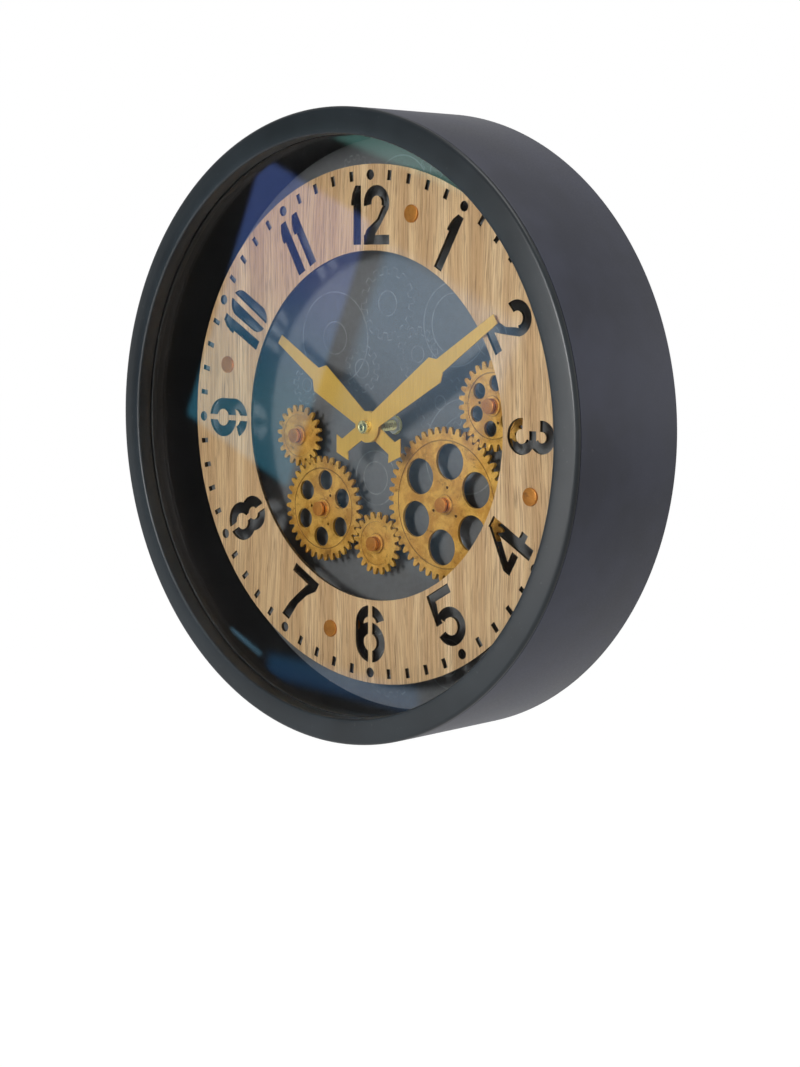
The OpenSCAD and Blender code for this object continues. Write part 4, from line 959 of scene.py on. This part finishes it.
# %% Dark card with dusk windows
WINDOWS = [
    # centre x, centre z, tilt in degrees, half width, half height, softness, lower and upper colour
    (-2.081, 0.020, 24, 0.171, 0.29, 0.02, (0.12, 0.62, 0.90), (0.24, 0.40, 1.18)),
    (-1.717, -0.144, 24, 0.20, 0.28, 0.04, (0.05, 0.13, 0.20), (0.28, 0.60, 0.98)),
    (-1.760, 0.412, 19, 0.50, 0.10, 0.02, (0.36, 0.92, 0.80), (0.36, 0.92, 0.80)),
    (-1.900, -0.672, 3, 0.22, 0.038, 0.03, (0.04, 0.20, 0.50), (0.06, 0.26, 0.55)),
    (-2.170, -0.622, 25, 0.055, 0.010, 0.01, (0.30, 0.70, 1.00), (0.30, 0.70, 1.00)),
]
CARD_PLACE = Vector((-2.3, -2.0, -0.1))
CARD_HALVES = Vector((2.1, 2.2, 1))
card_mesh = bmesh.new()
bmesh.ops.create_grid(card_mesh, x_segments=1, y_segments=1, size=1)
bmesh.ops.transform(card_mesh, verts=card_mesh.verts[:], matrix=Matrix.LocRotScale(
    CARD_PLACE, Matrix.Rotation(math.pi / 2, 3, "X"), CARD_HALVES))
card_data = bpy.data.meshes.new("dusk card")
card_mesh.to_mesh(card_data)
card_mesh.free()
card = bpy.data.objects.new("dusk_card", card_data)
scene.collection.objects.link(card)
for kind in ("camera", "diffuse", "volume_scatter", "shadow"):
    setattr(card, "visible_" + kind, False)

material, tree, shader, coords = open_material("dusk windows", 0.9)
colour = None
for x, z, tilt, wide, high, soft, low, top in WINDOWS:
    window = use_group(tree, window_group, Coordinates=coords, Centre_x=x, Centre_z=z,
                       Tilt=math.radians(tilt), Half_width=wide, Half_height=high, Softness=soft)
    hue = blend(tree, remap(tree, window["Down"], -0.6, 0.6), (*low, 1), (*top, 1))
    lit = blend(tree, window["Mask"], (0, 0, 0, 1), hue)
    colour = lit if colour is None else blend(tree, 1.0, colour, lit, "ADD")
shader.inputs["Base Color"].default_value = (0.004, 0.004, 0.004, 1)
shader.inputs["Specular IOR Level"].default_value = 0.0
wire(tree, colour, shader.inputs["Emission Color"])
shader.inputs["Emission Strength"].default_value = 1.0
card_data.materials.append(material)
print("windows on the card:", len(WINDOWS))

# %% [markdown]
# The floor lies well below the hanging clock. It is white to the camera, and a little of its real
# shading is left so that the clock's soft shadow shows.

# %% Floor
FLOOR_Z = -0.75
FLOOR_GLOW = 1.08
CAMERA_SHARE, MIRROR_SHARE = 0.9, 0.36
floor_mesh = bmesh.new()
bmesh.ops.create_grid(floor_mesh, x_segments=1, y_segments=1, size=12)
floor_data = bpy.data.meshes.new("floor")
floor_mesh.to_mesh(floor_data)
floor_mesh.free()
floor = bpy.data.objects.new("floor", floor_data)
scene.collection.objects.link(floor)
floor.location.z = FLOOR_Z
material, tree, shader, coords = open_material("pale floor", 0.9)
tone = remap(tree, clouds(tree, coords, 3.0, 3.0), 0.2, 0.8, 0.84, 0.88)
wire(tree, blend(tree, tone, (0, 0, 0, 1), (1, 1, 1, 1)), shader.inputs["Base Color"])
glow = tree.nodes.new("ShaderNodeEmission")
glow.inputs["Strength"].default_value = FLOOR_GLOW
share = tree.nodes.new("ShaderNodeMixShader")
ray = tree.nodes.new("ShaderNodeLightPath").outputs
shown = calc(tree, "MULTIPLY", ray["Is Camera Ray"], CAMERA_SHARE)
wire(tree, calc(tree, "MULTIPLY_ADD", ray["Is Glossy Ray"], MIRROR_SHARE, shown),
     share.inputs[0])
wire(tree, shader.outputs[0], share.inputs[1])
wire(tree, glow.outputs[0], share.inputs[2])
wire(tree, share.outputs[0], tree.nodes["Material Output"].inputs["Surface"])
floor_data.materials.append(material)
print("floor height:", FLOOR_Z)
